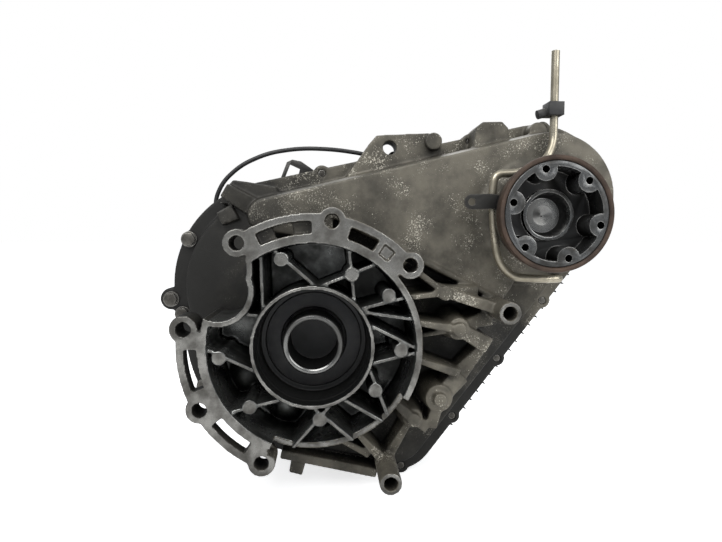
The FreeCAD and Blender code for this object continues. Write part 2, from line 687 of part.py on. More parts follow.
def rear_casing():
    """The rear half: joint lip, drafted walls, rear wall with its bearing seats, and fins."""
    walls = rear_walls()
    tail_pad = rod(TAIL_RADIUS + 16, REAR_BACK - 4, REAR_BACK + 3)
    body = walls.multiFuse([tail_pad, lip(JOINT_FACE, JOINT_FACE + REAR_LIP)] + cooling_fins())
    inset = -LIP_WIDTH - CASE_WALL
    room = drafted(CASE_LOBES, JOINT_FACE - 1, inset, REAR_BACK - REAR_WALL, inset - REAR_DRAFT)
    body = body.cut(room)
    output_hub = rod(30, SPROCKET_FRONT + SPROCKET_WIDTH + 6, REAR_BACK - 1, OUT)
    rail_hub = rod(RAIL_RADIUS + 6, REAR_BACK - 22, REAR_BACK - 1, rail_place())
    body = joined(body, output_hub, rail_hub)
    body = body.cut(rod(24, SPROCKET_FRONT + SPROCKET_WIDTH + 5, REAR_BACK - REAR_WALL - 2, OUT))
    body = body.cut(rod(RAIL_RADIUS, REAR_BACK - 23, REAR_BACK - REAR_WALL, rail_place()))
    body = body.cut(rod(SCREW_RADIUS + 1, JOINT_FACE, REAR_BACK + 4, screw_place()))
    body = body.cut(rod(PUMP_PLUG_RADIUS, JOINT_FACE, REAR_BACK + 4))
    lip_back = JOINT_FACE + REAR_LIP
    for place in case_bolt_places():
        if not from_front(place):
            body = body.cut(rod(BOLT_HEAD + SPOT_FACE, lip_back, lip_back + BOLT_HEAD_HEIGHT + 2,
                                place))
    for place in tail_bolt_places():
        body = body.cut(rod(CASE_BOLT_RADIUS, REAR_BACK - REAR_WALL - 1, REAR_BACK + 4, place))
    keep("rear_casing", body.removeSplitter())


def tail_bolt_places():
    """The bolts that hold the tail housing."""
    return [polar(TAIL_RADIUS + 8, 30 + 360 / TAIL_BOLT_COUNT * i) for i in range(TAIL_BOLT_COUNT)]


def rail_place():
    """The shift rail's axis."""
    return polar(SHIFT_RAIL_OFFSET, SHIFT_RAIL_ANGLE)


def screw_place():
    """The lead screw's axis, outboard of the shift rail."""
    return polar(SHIFT_RAIL_OFFSET + SCREW_SPACING, SHIFT_RAIL_ANGLE)


def tail_housing():
    """The turned rear output housing that carries the rear bearing and seal."""
    face = REAR_BACK + 3
    back = face + TAIL_LENGTH
    profile = ((BEARING_SEAT - 8, face), (TAIL_RADIUS + 16, face), (TAIL_RADIUS + 16, face + 9),
               (TAIL_RADIUS, face + 12), (TAIL_RADIUS - 8, back - 14), (TAIL_RADIUS - 8, back),
               (BEARING_SEAT - 8, back))
    body = turned(profile)
    webs = [wall(polar(TAIL_RADIUS - 12, a), polar(TAIL_RADIUS + 10, a), 6, face + 4, face + 24)
            for a in range(0, 360, 60)]
    body = joined(body, *webs)
    for place in tail_bolt_places():
        body = body.cut(rod(CASE_BOLT_RADIUS, face - 1, face + 10, place))
        body = body.cut(rod(BOLT_HEAD + 3, face + 9, face + 30, place))
    body = body.cut(rod(BEARING_SEAT - 8, face - 1, back + 1))
    keep("tail_housing", body.removeSplitter())


def case_fasteners():
    """Case bolts and tail bolts."""
    front = JOINT_FACE - FRONT_LIP
    back = JOINT_FACE + REAR_LIP
    shank = CASE_BOLT_RADIUS - BOLT_SLACK
    bolts = []
    for place in case_bolt_places():
        if from_front(place):
            bolts.append(bolt(place, front, back - 0.5, shank))
        else:
            bolts.append(bolt(place, back, front + 1, shank, 1))
    keep("case_bolts", group(bolts))
    face = REAR_BACK + 3 + 9
    keep("tail_bolts", group(bolt(p, face, REAR_BACK - REAR_WALL, CASE_BOLT_RADIUS - BOLT_SLACK, 1)
                             for p in tail_bolt_places()))


# ---------------------------------------------------------------- input shaft and range set

def bearing(outer, inner, front, width, centre=(0.0, 0.0)):
    """A shielded ball bearing drawn as two races with a recessed shield between them."""
    third = (outer - inner) / 3
    lip_in = 1.2
    profile = ((inner, front), (inner + third, front), (inner + third, front + lip_in),
               (outer - third, front + lip_in), (outer - third, front), (outer, front),
               (outer, front + width), (outer - third, front + width),
               (outer - third, front + width - lip_in), (inner + third, front + width - lip_in),
               (inner + third, front + width), (inner, front + width))
    return turned(profile, centre)


def seal(outer, inner, front, width, centre=(0.0, 0.0)):
    """A lip seal: flat case, stepped face and a thin lip on the journal."""
    profile = ((inner, front), (inner + 2.5, front - 2), (inner + 4, front + 1.5),
               (outer, front), (outer, front + width), (inner + 5, front + width),
               (inner + 4, front + 4), (inner, front + 2))
    return turned(profile, centre)


def input_set():
    """Input shaft with its sun gear, and the bearing and seal that it turns in."""
    journal = INPUT_TUBE_RADIUS
    seat_back = BEARING_FRONT + BEARING_WIDTH
    profile = ((INPUT_TUBE_BORE, SHAFT_FRONT + 1.5), (INPUT_TUBE_BORE + 2, SHAFT_FRONT),
               (journal - 1.5, SHAFT_FRONT), (journal, SHAFT_FRONT + 1.5),
               (journal, seat_back + 0.3), (journal + 5, seat_back + 0.3),
               (journal + 5, DECK_FRONT + 3), (SUN_BORE + 4, GEAR_FRONT), (SUN_BORE + 4, GEAR_BACK),
               (SUN_BORE, GEAR_BACK), (SUN_BORE, GEAR_FRONT + 4), (0, GEAR_FRONT + 4),
               (0, INPUT_BORE_DEPTH), (INPUT_TUBE_BORE, INPUT_BORE_DEPTH))
    teeth = gear(SUN_TEETH, MODULE, GEAR_FRONT, GEAR_BACK).cut(
        rod(SUN_BORE + 3, GEAR_FRONT - 1, GEAR_BACK + 1))
    keep("input_shaft", joined(turned(profile), teeth))
    keep("input_bearing", bearing(BEARING_SEAT, journal + RUNNING, BEARING_FRONT, BEARING_WIDTH))
    keep("input_seal", seal(BEARING_SEAT, journal + SEAL_GAP, BEARING_FRONT - SEAL_WIDTH - 0.5,
                            SEAL_WIDTH))


def planetary():
    """Annulus, carrier with its pins, and the four planets."""
    blank = tube(ANNULUS_RADIUS, MODULE * ANNULUS_TEETH / 2 - 3 * MODULE, GEAR_FRONT, GEAR_BACK)
    spaces = gear(ANNULUS_TEETH, MODULE, GEAR_FRONT - 1, GEAR_BACK + 1,
                  phase=180 / ANNULUS_TEETH, addendum=1.15, dedendum=0.85, slack=-0.16)
    keep("annulus_gear", blank.cut(spaces))
    front = GEAR_BACK + 2
    plate = tube(PLANET_ORBIT + 11, CARRIER_BORE, front, front + CARRIER_THICK)
    windows = [rod(9, front - 1, front + CARRIER_THICK + 1, polar(PLANET_ORBIT - 2, 45 + 90 * i))
               for i in range(PLANET_COUNT)]
    carrier = plate.cut(windows[0].multiFuse(windows[1:]))
    places = [polar(PLANET_ORBIT, 360 / PLANET_COUNT * i) for i in range(PLANET_COUNT)]
    for place in places:
        carrier = carrier.cut(rod(PLANET_PIN_RADIUS, front - 1, front + CARRIER_THICK + 1, place))
    keep("planet_carrier", carrier)
    keep("planet_pins", group(rod(PLANET_PIN_RADIUS, GEAR_FRONT - 1, front + CARRIER_THICK + 1, p)
                              for p in places))
    for i, place in enumerate(places):
        facing = 360 / PLANET_COUNT * i + 180
        tooth_on_line = (facing - 180) / 360 * SUN_TEETH % 1 == 0
        phase = facing + (180 / PLANET_TEETH if tooth_on_line else 0)
        planet = gear(PLANET_TEETH, MODULE, GEAR_FRONT, GEAR_BACK, phase, place)
        hole = rod(PLANET_PIN_RADIUS + RUNNING, GEAR_FRONT - 1, GEAR_BACK + 1, place)
        keep("planet_gear_%d" % (i + 1), planet.cut(hole))


def range_shift():
    """Range sleeve, its fork on the rail, and the lead screw that moves the fork."""
    nose = gear(SLEEVE_TEETH, 2 * SLEEVE_RADIUS / (SLEEVE_TEETH + 1.7),
                GEAR_BACK - SLEEVE_DOG, GEAR_BACK + 1)
    start = GEAR_BACK + CARRIER_THICK + 3
    collar = turned(((SLEEVE_BORE, GEAR_BACK), (SLEEVE_RADIUS - 2, GEAR_BACK),
                     (SLEEVE_RADIUS - 2, start), (GROOVE_RADIUS + 6, start),
                     (GROOVE_RADIUS + 6, start + 3), (GROOVE_RADIUS, start + 3),
                     (GROOVE_RADIUS, start + 9), (GROOVE_RADIUS + 6, start + 9),
                     (GROOVE_RADIUS + 6, start + 12), (SLEEVE_BORE, start + 12)))
    sleeve = joined(collar, nose).cut(rod(MAINSHAFT_RADIUS + RUNNING, 0, REAR_BACK))
    keep("range_sleeve", sleeve)
    middle = start + 6
    front = middle - 2.6
    back = middle + 2.6
    rail = rail_place()
    screw = screw_place()
    arms = sector(GROOVE_RADIUS + FREE_GAP, GROOVE_RADIUS + 13, SHIFT_RAIL_ANGLE - 88,
                  SHIFT_RAIL_ANGLE + 88, front, back)
    stem = wall(polar(GROOVE_RADIUS + 10, SHIFT_RAIL_ANGLE), screw, 14, front, back)
    hub = rod(RAIL_RADIUS + 5, middle - 9, middle + 9, rail)
    nut = rod(SCREW_RADIUS + 5, middle - 9, middle + 9, screw)
    fork = joined(arms, stem, hub, nut)
    fork = fork.cut(rod(RAIL_RADIUS + RUNNING, 0, REAR_BACK, rail))
    keep("range_fork", fork.cut(rod(SCREW_RADIUS + RUNNING, 0, REAR_BACK, screw)))
    keep("shift_rail", rod(RAIL_RADIUS, DECK_BACK, REAR_BACK - REAR_WALL, rail))
    tail = REAR_BACK + 12
    keep("shift_screw", turned(((0, DECK_BACK + 1), (SCREW_RADIUS, DECK_BACK + 2),
                                (SCREW_RADIUS, REAR_BACK - REAR_WALL - 4),
                                (SCREW_RADIUS + 3, REAR_BACK - REAR_WALL - 4),
                                (SCREW_RADIUS + 3, REAR_BACK - REAR_WALL - 1),
                                (SCREW_RADIUS, REAR_BACK - REAR_WALL - 1), (SCREW_RADIUS, tail),
                                (0, tail)), screw))


# ---------------------------------------------------------------- mainshaft and differential

def mainshaft():
    """The rear output shaft, from its spigot in the sun gear to the rear flange."""
    tail = REAR_BACK + 3 + TAIL_LENGTH
    sprocket_seat = MAINSHAFT_RADIUS + 4
    diff_back = DIFF_FRONT + DIFF_LENGTH
    profile = ((0, GEAR_FRONT + 6), (15, GEAR_FRONT + 6), (MAINSHAFT_RADIUS, GEAR_FRONT + 9),
               (MAINSHAFT_RADIUS, SPROCKET_FRONT - 1), (sprocket_seat, SPROCKET_FRONT - 1),
               (sprocket_seat, DIFF_FRONT), (DIFF_SHAFT_RADIUS, DIFF_FRONT),
               (DIFF_SHAFT_RADIUS, diff_back), (sprocket_seat, diff_back),
               (sprocket_seat, REAR_BACK + 10), (20, REAR_BACK + 10), (20, tail + 4),
               (13, tail + 4), (13, tail + 30), (0, tail + 30))
    keep("rear_output_shaft", turned(profile))
    keep("rear_bearing", bearing(BEARING_SEAT - 8, 20 + RUNNING, tail - 34, 18))
    keep("rear_seal", seal(BEARING_SEAT - 8, 20 + SEAL_GAP, tail - 10, 8))


def bevel(teeth, apex_y, cone_length, facing, phase):
    """A straight bevel gear along the shafts, scaled towards its apex."""
    wires = []
    for share in (1.0, BEVEL_INNER):
        wires.append(gear_wire(teeth, BEVEL_MODULE, apex_y + facing * cone_length * share, phase,
                               addendum=0.55, dedendum=1.1, slack=0.34, scale=share))
    return Part.makeLoft(wires, True, True)


def differential():
    """Diff case, side gears, and pinions on their pins."""
    front = DIFF_FRONT
    back = front + DIFF_LENGTH
    middle = (front + back) / 2
    inside = DIFF_RADIUS - DIFF_WALL
    bore = DIFF_SHAFT_RADIUS
    drum = turned(((bore, front), (DIFF_RADIUS, front), (DIFF_RADIUS, back), (bore, back),
                   (bore, back - DIFF_WALL), (inside, back - DIFF_WALL),
                   (inside, front + DIFF_WALL), (bore, front + DIFF_WALL)))
    side_pitch = BEVEL_MODULE * SIDE_TEETH / 2
    pinion_pitch = BEVEL_MODULE * PINION_TEETH / 2
    room = rod(bore + FREE_GAP, front, back)
    half_room = DIFF_LENGTH / 2 - DIFF_WALL
    sides = []
    for facing in (-1, 1):
        blank = bevel(SIDE_TEETH, middle, pinion_pitch, facing, 0)
        near = middle + facing * pinion_pitch
        far = middle + facing * (half_room - FREE_GAP)
        backing = rod(side_pitch - 3, min(near, far), max(near, far))
        sides.append(joined(blank, backing).cut(room))
    keep("diff_side_gears", group(sides))
    pins = []
    pinions = []
    for i in range(4):
        pin = Part.makeCylinder(4, DIFF_RADIUS - bore - 0.4, Vector(bore + 0.4, middle, 0),
                                Vector(1, 0, 0))
        phase = 180 / PINION_TEETH if i % 2 == 0 else 0
        pinion = bevel(PINION_TEETH, 0, side_pitch, 1, phase)
        pinion.rotate(Vector(0, 0, 0), Vector(0, 0, 1), -90)
        pinion.translate(Vector(0, middle, 0))
        pinion = pinion.cut(Part.makeCylinder(4 + RUNNING, 60, Vector(0, middle, 0),
                                              Vector(1, 0, 0)))
        for piece in (pin, pinion):
            piece.rotate(Vector(0, middle, 0), Vector(0, 1, 0), 90 * i)
        pins.append(pin)
        pinions.append(pinion)
    keep("diff_pins", group(pins))
    keep("diff_pinions", group(pinions))
    keep("diff_case", drum.cut(pins[0].multiFuse(pins[1:])))


def oil_pump():
    """Pump body in the rear wall, its rotor on the mainshaft, and the sump pickup."""
    wall_front = REAR_BACK - REAR_WALL
    shaft = MAINSHAFT_RADIUS + 4
    front = wall_front - 5
    body = turned(((shaft + 1, front), (PUMP_RADIUS, front), (PUMP_RADIUS, wall_front),
                   (PUMP_PLUG_RADIUS, wall_front), (PUMP_PLUG_RADIUS, REAR_BACK + 3),
                   (shaft + 1, REAR_BACK + 3)))
    pocket = rod(PUMP_POCKET_RADIUS, wall_front - 1, wall_front + 7)
    keep("oil_pump_body", body.cut(pocket))
    rotor = gear(PUMP_TEETH, 2 * PUMP_POCKET_RADIUS / (PUMP_TEETH + 2.2), wall_front - 0.6,
                 wall_front + 6.6, dedendum=0.6)
    keep("oil_pump_rotor", rotor.cut(rod(shaft, front, REAR_BACK)))
    start = polar(PUMP_RADIUS - 2, -45)
    foot = (SUMP_X - 8, SUMP_Z - 2)
    deep = wall_front - PICKUP_RADIUS - 0.5
    pipe = Part.makeCylinder(PICKUP_RADIUS, math.hypot(foot[0] - start[0], foot[1] - start[1]),
                             Vector(start[0], deep, start[1]),
                             Vector(foot[0] - start[0], 0, foot[1] - start[1]))
    strainer = Part.makeBox(44, 26, 12, Vector(foot[0] - 22, wall_front - 26, foot[1] - 8))
    keep("oil_pickup", joined(pipe, strainer).cut(rod(PUMP_RADIUS, 0, REAR_BACK)))


# ---------------------------------------------------------------- chain drive

def chain_link(length, height, front, back):
    """One block of chain links lying along +X, drawn as a waisted plate."""
    half = length / 2 - 0.3
    top = height / 2
    profile = ((-half, -top * 0.6), (-half * 0.7, -top), (half * 0.7, -top), (half, -top * 0.6),
               (half, top * 0.6), (half * 0.6, top), (-half * 0.6, top), (-half, top * 0.6))
    return prism(profile, front, back)


def chain_drive():
    """Both sprockets and the link chain, whose guide plates straddle the teeth."""
    front = SPROCKET_FRONT
    back = front + SPROCKET_WIDTH
    tooth_module = 2 * SPROCKET_RADIUS / SPROCKET_TEETH
    for name, place, bore in (("drive_sprocket", (0.0, 0.0), MAINSHAFT_RADIUS + 4 + RUNNING),
                              ("driven_sprocket", OUT, OUTPUT_SHAFT_RADIUS + 4)):
        wheel = gear(SPROCKET_TEETH, tooth_module, front, back, 0, place, addendum=-0.05,
                     dedendum=0.85)
        hub = rod(bore + 8, front, back + 2, place)
        wheel = joined(wheel, hub).cut(rod(bore, front - 1, back + 3, place))
        keep(name, wheel)
    loop_lobes = ((OUT_X, OUT_Z, SPROCKET_RADIUS), (0.0, 0.0, SPROCKET_RADIUS))
    thick = 7.0
    lift = thick / 2 + FREE_GAP
    track = belt(loop_lobes, lift, SPROCKET_MIDDLE)
    count = round(track.Length / CHAIN_PITCH)
    places = track.discretize(Number=count + 1)
    links = []
    for i in range(count):
        here = places[i]
        ahead = places[i + 1]
        run = ahead - here
        inset = CHAIN_PLATE * (i % 2)
        link = chain_link(run.Length, thick, front - CHAIN_PLATE + inset,
                          back + CHAIN_PLATE - inset)
        link.rotate(Vector(0, 0, 0), Vector(0, -1, 0), math.degrees(math.atan2(run.z, run.x)))
        link.translate(Vector((here.x + ahead.x) / 2, 0, (here.z + ahead.z) / 2))
        links.append(link)
    keep("drive_chain", group(links))


# ---------------------------------------------------------------- front output

def front_output():
    """Output shaft, its bearings and seal, the six-hole flange and its dust deflector."""
    flange_back = FLANGE_REAR
    seat = OUTPUT_JOURNAL + 6
    shaft_profile = ((0, HUB_FLOOR + 3), (10, HUB_FLOOR), (OUTPUT_SHAFT_RADIUS, HUB_FLOOR),
                     (OUTPUT_SHAFT_RADIUS, SPROCKET_FRONT - 8),
                     (OUTPUT_SHAFT_RADIUS + 4, SPROCKET_FRONT - 8),
                     (OUTPUT_SHAFT_RADIUS + 4, SPROCKET_FRONT + SPROCKET_WIDTH + 4),
                     (15, SPROCKET_FRONT + SPROCKET_WIDTH + 4), (15, REAR_BACK - REAR_WALL - 3),
                     (0, REAR_BACK - REAR_WALL - 3))
    keep("front_output_shaft", turned(shaft_profile, OUT))
    keep("front_output_bearing", bearing(seat, OUTPUT_SHAFT_RADIUS + RUNNING, 52, 18, OUT))
    keep("front_output_rear_bearing", bearing(24, 15 + RUNNING, REAR_BACK - REAR_WALL - 20, 16,
                                              OUT))
    keep("front_output_seal", seal(seat, OUTPUT_JOURNAL + SEAL_GAP, NOSE_FRONT + 2, 8, OUT))
    angles = [FLANGE_HOLE_ANGLE + 360 / FLANGE_HOLES * i for i in range(FLANGE_HOLES)]
    body = turned(((0, FLANGE_FACE), (FLANGE_RADIUS - 1, FLANGE_FACE),
                   (FLANGE_RADIUS, FLANGE_FACE + 1), (FLANGE_RADIUS, flange_back),
                   (OUTPUT_JOURNAL + 4, flange_back + 1), (OUTPUT_JOURNAL, flange_back + 3),
                   (OUTPUT_JOURNAL, NOSE_FRONT + 18), (0, NOSE_FRONT + 18)), OUT)
    lobes = [rod(LOBE_RADIUS, FLANGE_FACE - 1, FLANGE_FLOOR, polar(FLANGE_CIRCLE, a, OUT))
             for a in angles]
    hub = rod(HUB_RING_RADIUS, HUB_RING_FRONT, FLANGE_FLOOR, OUT)
    cup = rod(CUP_RADIUS, FLANGE_FACE - 1, FLANGE_FLOOR, OUT).cut(
        lobes[0].multiFuse(lobes[1:] + [hub]))
    body = body.cut(cup)
    bowl = turned(((0, FLANGE_FACE - 1), (HUB_BORE, FLANGE_FACE - 1),
                   (HUB_BORE, HUB_RING_FRONT + 6), (HUB_BORE - 2, HUB_RING_FRONT + 11),
                   (OUTPUT_SHAFT_RADIUS, HUB_FLOOR - 1), (0, HUB_FLOOR - 1)), OUT)
    body = body.cut(bowl)
    body = body.cut(rod(OUTPUT_SHAFT_RADIUS, FLANGE_FACE, NOSE_FRONT + 19, OUT))
    for angle in angles:
        body = body.cut(rod(FLANGE_HOLE_RADIUS, FLANGE_FACE - 1, FLANGE_FACE + FLANGE_HOLE_DEPTH,
                            polar(FLANGE_CIRCLE, angle, OUT)))
    keep("front_output_flange", body.removeSplitter())
    outer = FLANGE_RADIUS + DEFLECTOR_THICK
    face = FLANGE_FACE - 1
    profile = ((FLANGE_RADIUS, face + 1.5), (FLANGE_RADIUS + 1.5, face), (outer, face),
               (outer + 1, face + 2), (outer, face + 4), (outer - 1, face + DEFLECTOR_LENGTH),
               (FLANGE_RADIUS, face + DEFLECTOR_LENGTH))
    keep("dust_deflector", turned(profile, OUT))


def rear_output():
    """The rear companion flange and its nut."""
    tail = REAR_BACK + 3 + TAIL_LENGTH
    front = tail + 4
    profile = ((13, front), (27, front), (30, front + 8), (REAR_FLANGE_RADIUS, front + 10),
               (REAR_FLANGE_RADIUS, front + 10 + REAR_FLANGE_THICK),
               (24, front + 10 + REAR_FLANGE_THICK), (24, front + 14), (13, front + 14))
    body = turned(profile)
    for i in range(REAR_FLANGE_HOLES):
        place = polar(REAR_FLANGE_CIRCLE, 45 + 360 / REAR_FLANGE_HOLES * i)
        body = body.cut(rod(REAR_FLANGE_HOLE_RADIUS, front, front + 30, place))
    keep("rear_output_flange", body.removeSplitter())
    nut = hexagon(18, front + 14, front + 24, (0, 0)).cut(rod(13, front, front + 40))
    keep("rear_flange_nut", nut)


# ---------------------------------------------------------------- actuator, plugs and pipework

def shift_motor():
    """The shift motor on the rear wall, in line with the lead screw."""
    x, z = screw_place()
    back = REAR_BACK
    base = prism(((x - 36, z - 24), (x - 36, z + 18), (x - 22, z + 32), (x + 14, z + 34),
                  (x + 38, z + 18), (x + 38, z + 2), (x + 6, z - 26)), back, back + 8)
    motor = rod(MOTOR_RADIUS, back + 8, back + MOTOR_LENGTH, (x, z))
    cap = rod(MOTOR_RADIUS - 4, back + MOTOR_LENGTH, back + MOTOR_LENGTH + 4, (x, z))
    socket = Part.makeBox(26, 18, 14, Vector(x - 40, back + 14, z - 8))
    body = joined(base, motor, cap, socket)
    body = body.cut(rod(SCREW_RADIUS + 1, back - 1, back + 13, (x, z)))
    feet = [(x - 29, z - 18), (x - 27, z + 21), (x + 31, z + 13)]
    for foot in feet:
        body = body.cut(rod(3 + BOLT_SLACK, back - 1, back + 9, foot))
    keep("shift_motor", body)
    keep("shift_motor_bolts", group(bolt(p, back + 8, back + 0.3, 3, 1) for p in feet))


def plugs():
    """Drain and filler plugs on the rear wall."""
    level = REAR_BACK
    parts = []
    for x, z in ((70, -118), (150, -30)):
        parts.append(joined(rod(13, level, level + 3, (x, z)),
                            hexagon(8, level + 3, level + 10, (x, z))))
    keep("drain_and_filler_plugs", group(parts))


def breather():
    """Breather pipe looping round the output flange, with its strap and clip."""
    deep = NOSE_FRONT + 2
    route = ((OUT_X + 15, 40, OUT_Z + 164), (OUT_X + 15, 40, OUT_Z + 74),
             (OUT_X + 8, 36, OUT_Z + 58), (OUT_X - 8, deep + 1, OUT_Z + 48),
             (OUT_X - 24, deep, OUT_Z + 42), (OUT_X - 48, deep, OUT_Z + 41),
             (OUT_X - 50, deep, OUT_Z + 24), (OUT_X - 49, deep, OUT_Z - 6),
             (OUT_X - 44, deep, OUT_Z - 44), (OUT_X - 30, deep, OUT_Z - 62),
             (OUT_X + 6, deep, OUT_Z - 64), (OUT_X + 24, deep + 3, OUT_Z - 64),
             (OUT_X + 24, PANEL_FRONT, OUT_Z - 64))
    outer, radii = piped(route, PIPE_RADIUS)
    inner, _ = piped(route, PIPE_BORE)
    keep("breather_pipe", outer.cut(inner))
    print("breather pipe bends", radii)
    clip_z = OUT_Z + 106
    clip = Part.makeBox(15, 18, 13, Vector(OUT_X + 7, 32, clip_z - 6))
    knob = Part.makeCylinder(4.5, 9, Vector(OUT_X + 7, 42, clip_z - 2), Vector(-1, 0, -0.3))
    clip = joined(clip, knob).cut(Part.makeCylinder(PIPE_RADIUS, 60, Vector(OUT_X + 15, 40,
                                                                            clip_z - 30)))
    keep("pipe_clip", clip)
    strap_x = OUT_X - 72
    strap_z = OUT_Z + 13
    front = deep - PIPE_RADIUS - 2
    tongue = prism(((strap_x, strap_z - 7.5), (strap_x, strap_z + 7.5), (strap_x + 18, strap_z + 8),
                    (strap_x + 34, strap_z + 6), (strap_x + 34, strap_z - 6),
                    (strap_x + 18, strap_z - 7)), front, front + 2)
    eye = rod(7.5, front, front + 2, (strap_x, strap_z))
    keep("pipe_strap", joined(tongue, eye).cut(rod(3.6, front - 1, front + 3,
                                                   (strap_x, strap_z))))


def harness():
    """The lead clipped over the top of the rear casing, its two clips and the wiring bracket."""
    y = 140.0
    route = ((-114, y, 124), (-117, y, 146), (-107, y, 168), (-86, y, 187), (-55, y, 201),
             (-17, y, 207), (22, y, 206), (58, y, 201), (84, y, 192))
    lead, radii = piped(route, CABLE_RADIUS)
    keep("harness_lead", lead)
    print("harness lead bends", radii)
    outside = rear_walls()
    start = Part.makeBox(18, 14, 16, Vector(-122, y - 7, 108))
    end = Part.makeBox(16, 14, 24, Vector(78, y - 7, 174))
    end.rotate(Vector(84, y, 192), REARWARDS, 20)
    grip = lead.common(Part.makeBox(400, 40, 400, Vector(-200, y - 20, -200)))
    clips = [block.cut(outside).cut(grip) for block in (start, end)]
    keep("harness_clips", group(clips))
    loop = ((-48, 146), (-40, 164), (-31, 187), (-25, 190), (-15, 188), (4, 175), (8, 150))
    gap = ((-34.5, 167), (-27.5, 184.5), (-16.5, 179.5), (-18.5, 171), (-26.5, 165))
    front = JOINT_FACE + REAR_LIP
    bracket = prism(loop, front, front + 3).cut(prism(gap, front - 1, front + 4))
    for place in case_bolt_places():
        bracket = bracket.cut(rod(BOLT_HEAD + SPOT_FACE, front - 1, front + 4, place))
    keep("wiring_bracket", bracket.cut(outside))


def main():
    """Build every piece and write its STEP file."""
    for build in (bell_housing, front_casing, rear_casing, tail_housing, case_fasteners, input_set,
                  planetary, range_shift, mainshaft, differential, oil_pump, chain_drive,
                  front_output, rear_output, shift_motor, plugs, breather, harness):
        build()
    os.makedirs("parts", exist_ok=True)
    for name, shape in PIECES.items():
        if not shape.isValid():
            print("not valid:", name)
        shape.exportStep("parts/%s.step" % name)
    print(len(PIECES), "nodes")


main()
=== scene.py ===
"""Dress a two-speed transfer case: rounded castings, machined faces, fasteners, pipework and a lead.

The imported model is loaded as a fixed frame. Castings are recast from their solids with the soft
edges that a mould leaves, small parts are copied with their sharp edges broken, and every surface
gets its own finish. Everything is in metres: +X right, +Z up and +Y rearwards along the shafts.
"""

from __future__ import annotations

import json
import logging
import math
from dataclasses import dataclass
from enum import Enum

import bpy
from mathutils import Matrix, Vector

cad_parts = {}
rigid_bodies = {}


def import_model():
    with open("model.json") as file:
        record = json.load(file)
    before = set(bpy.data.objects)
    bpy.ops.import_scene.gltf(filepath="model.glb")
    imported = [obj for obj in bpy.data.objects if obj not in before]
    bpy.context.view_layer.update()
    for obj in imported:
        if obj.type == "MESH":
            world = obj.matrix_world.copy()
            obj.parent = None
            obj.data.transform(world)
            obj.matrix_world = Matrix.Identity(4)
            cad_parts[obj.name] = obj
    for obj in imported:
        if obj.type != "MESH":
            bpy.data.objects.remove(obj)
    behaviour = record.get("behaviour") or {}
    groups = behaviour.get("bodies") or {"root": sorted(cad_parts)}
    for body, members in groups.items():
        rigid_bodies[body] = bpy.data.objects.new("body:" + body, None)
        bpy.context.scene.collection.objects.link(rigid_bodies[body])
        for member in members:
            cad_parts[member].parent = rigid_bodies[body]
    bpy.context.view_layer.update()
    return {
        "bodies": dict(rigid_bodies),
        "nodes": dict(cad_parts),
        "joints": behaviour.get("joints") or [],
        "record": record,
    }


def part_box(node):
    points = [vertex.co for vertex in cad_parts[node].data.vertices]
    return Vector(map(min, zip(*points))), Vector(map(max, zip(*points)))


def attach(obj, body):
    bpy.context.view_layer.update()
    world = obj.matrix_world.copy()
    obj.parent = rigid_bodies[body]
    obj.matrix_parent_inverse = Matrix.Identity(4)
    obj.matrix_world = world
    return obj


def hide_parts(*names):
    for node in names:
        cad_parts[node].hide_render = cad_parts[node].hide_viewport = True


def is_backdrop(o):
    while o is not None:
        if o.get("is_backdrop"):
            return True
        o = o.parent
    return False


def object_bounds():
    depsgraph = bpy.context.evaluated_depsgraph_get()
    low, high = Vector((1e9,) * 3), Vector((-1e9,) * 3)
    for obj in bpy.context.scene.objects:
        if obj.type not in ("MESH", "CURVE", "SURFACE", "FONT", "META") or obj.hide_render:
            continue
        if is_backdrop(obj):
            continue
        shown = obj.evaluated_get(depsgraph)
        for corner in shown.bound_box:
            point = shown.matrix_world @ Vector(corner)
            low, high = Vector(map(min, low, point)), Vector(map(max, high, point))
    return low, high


LOG = logging.getLogger("transfer_case")
MM = 0.001

Colour = tuple[float, float, float]


# ---------------------------------------------------------------- shader graphs

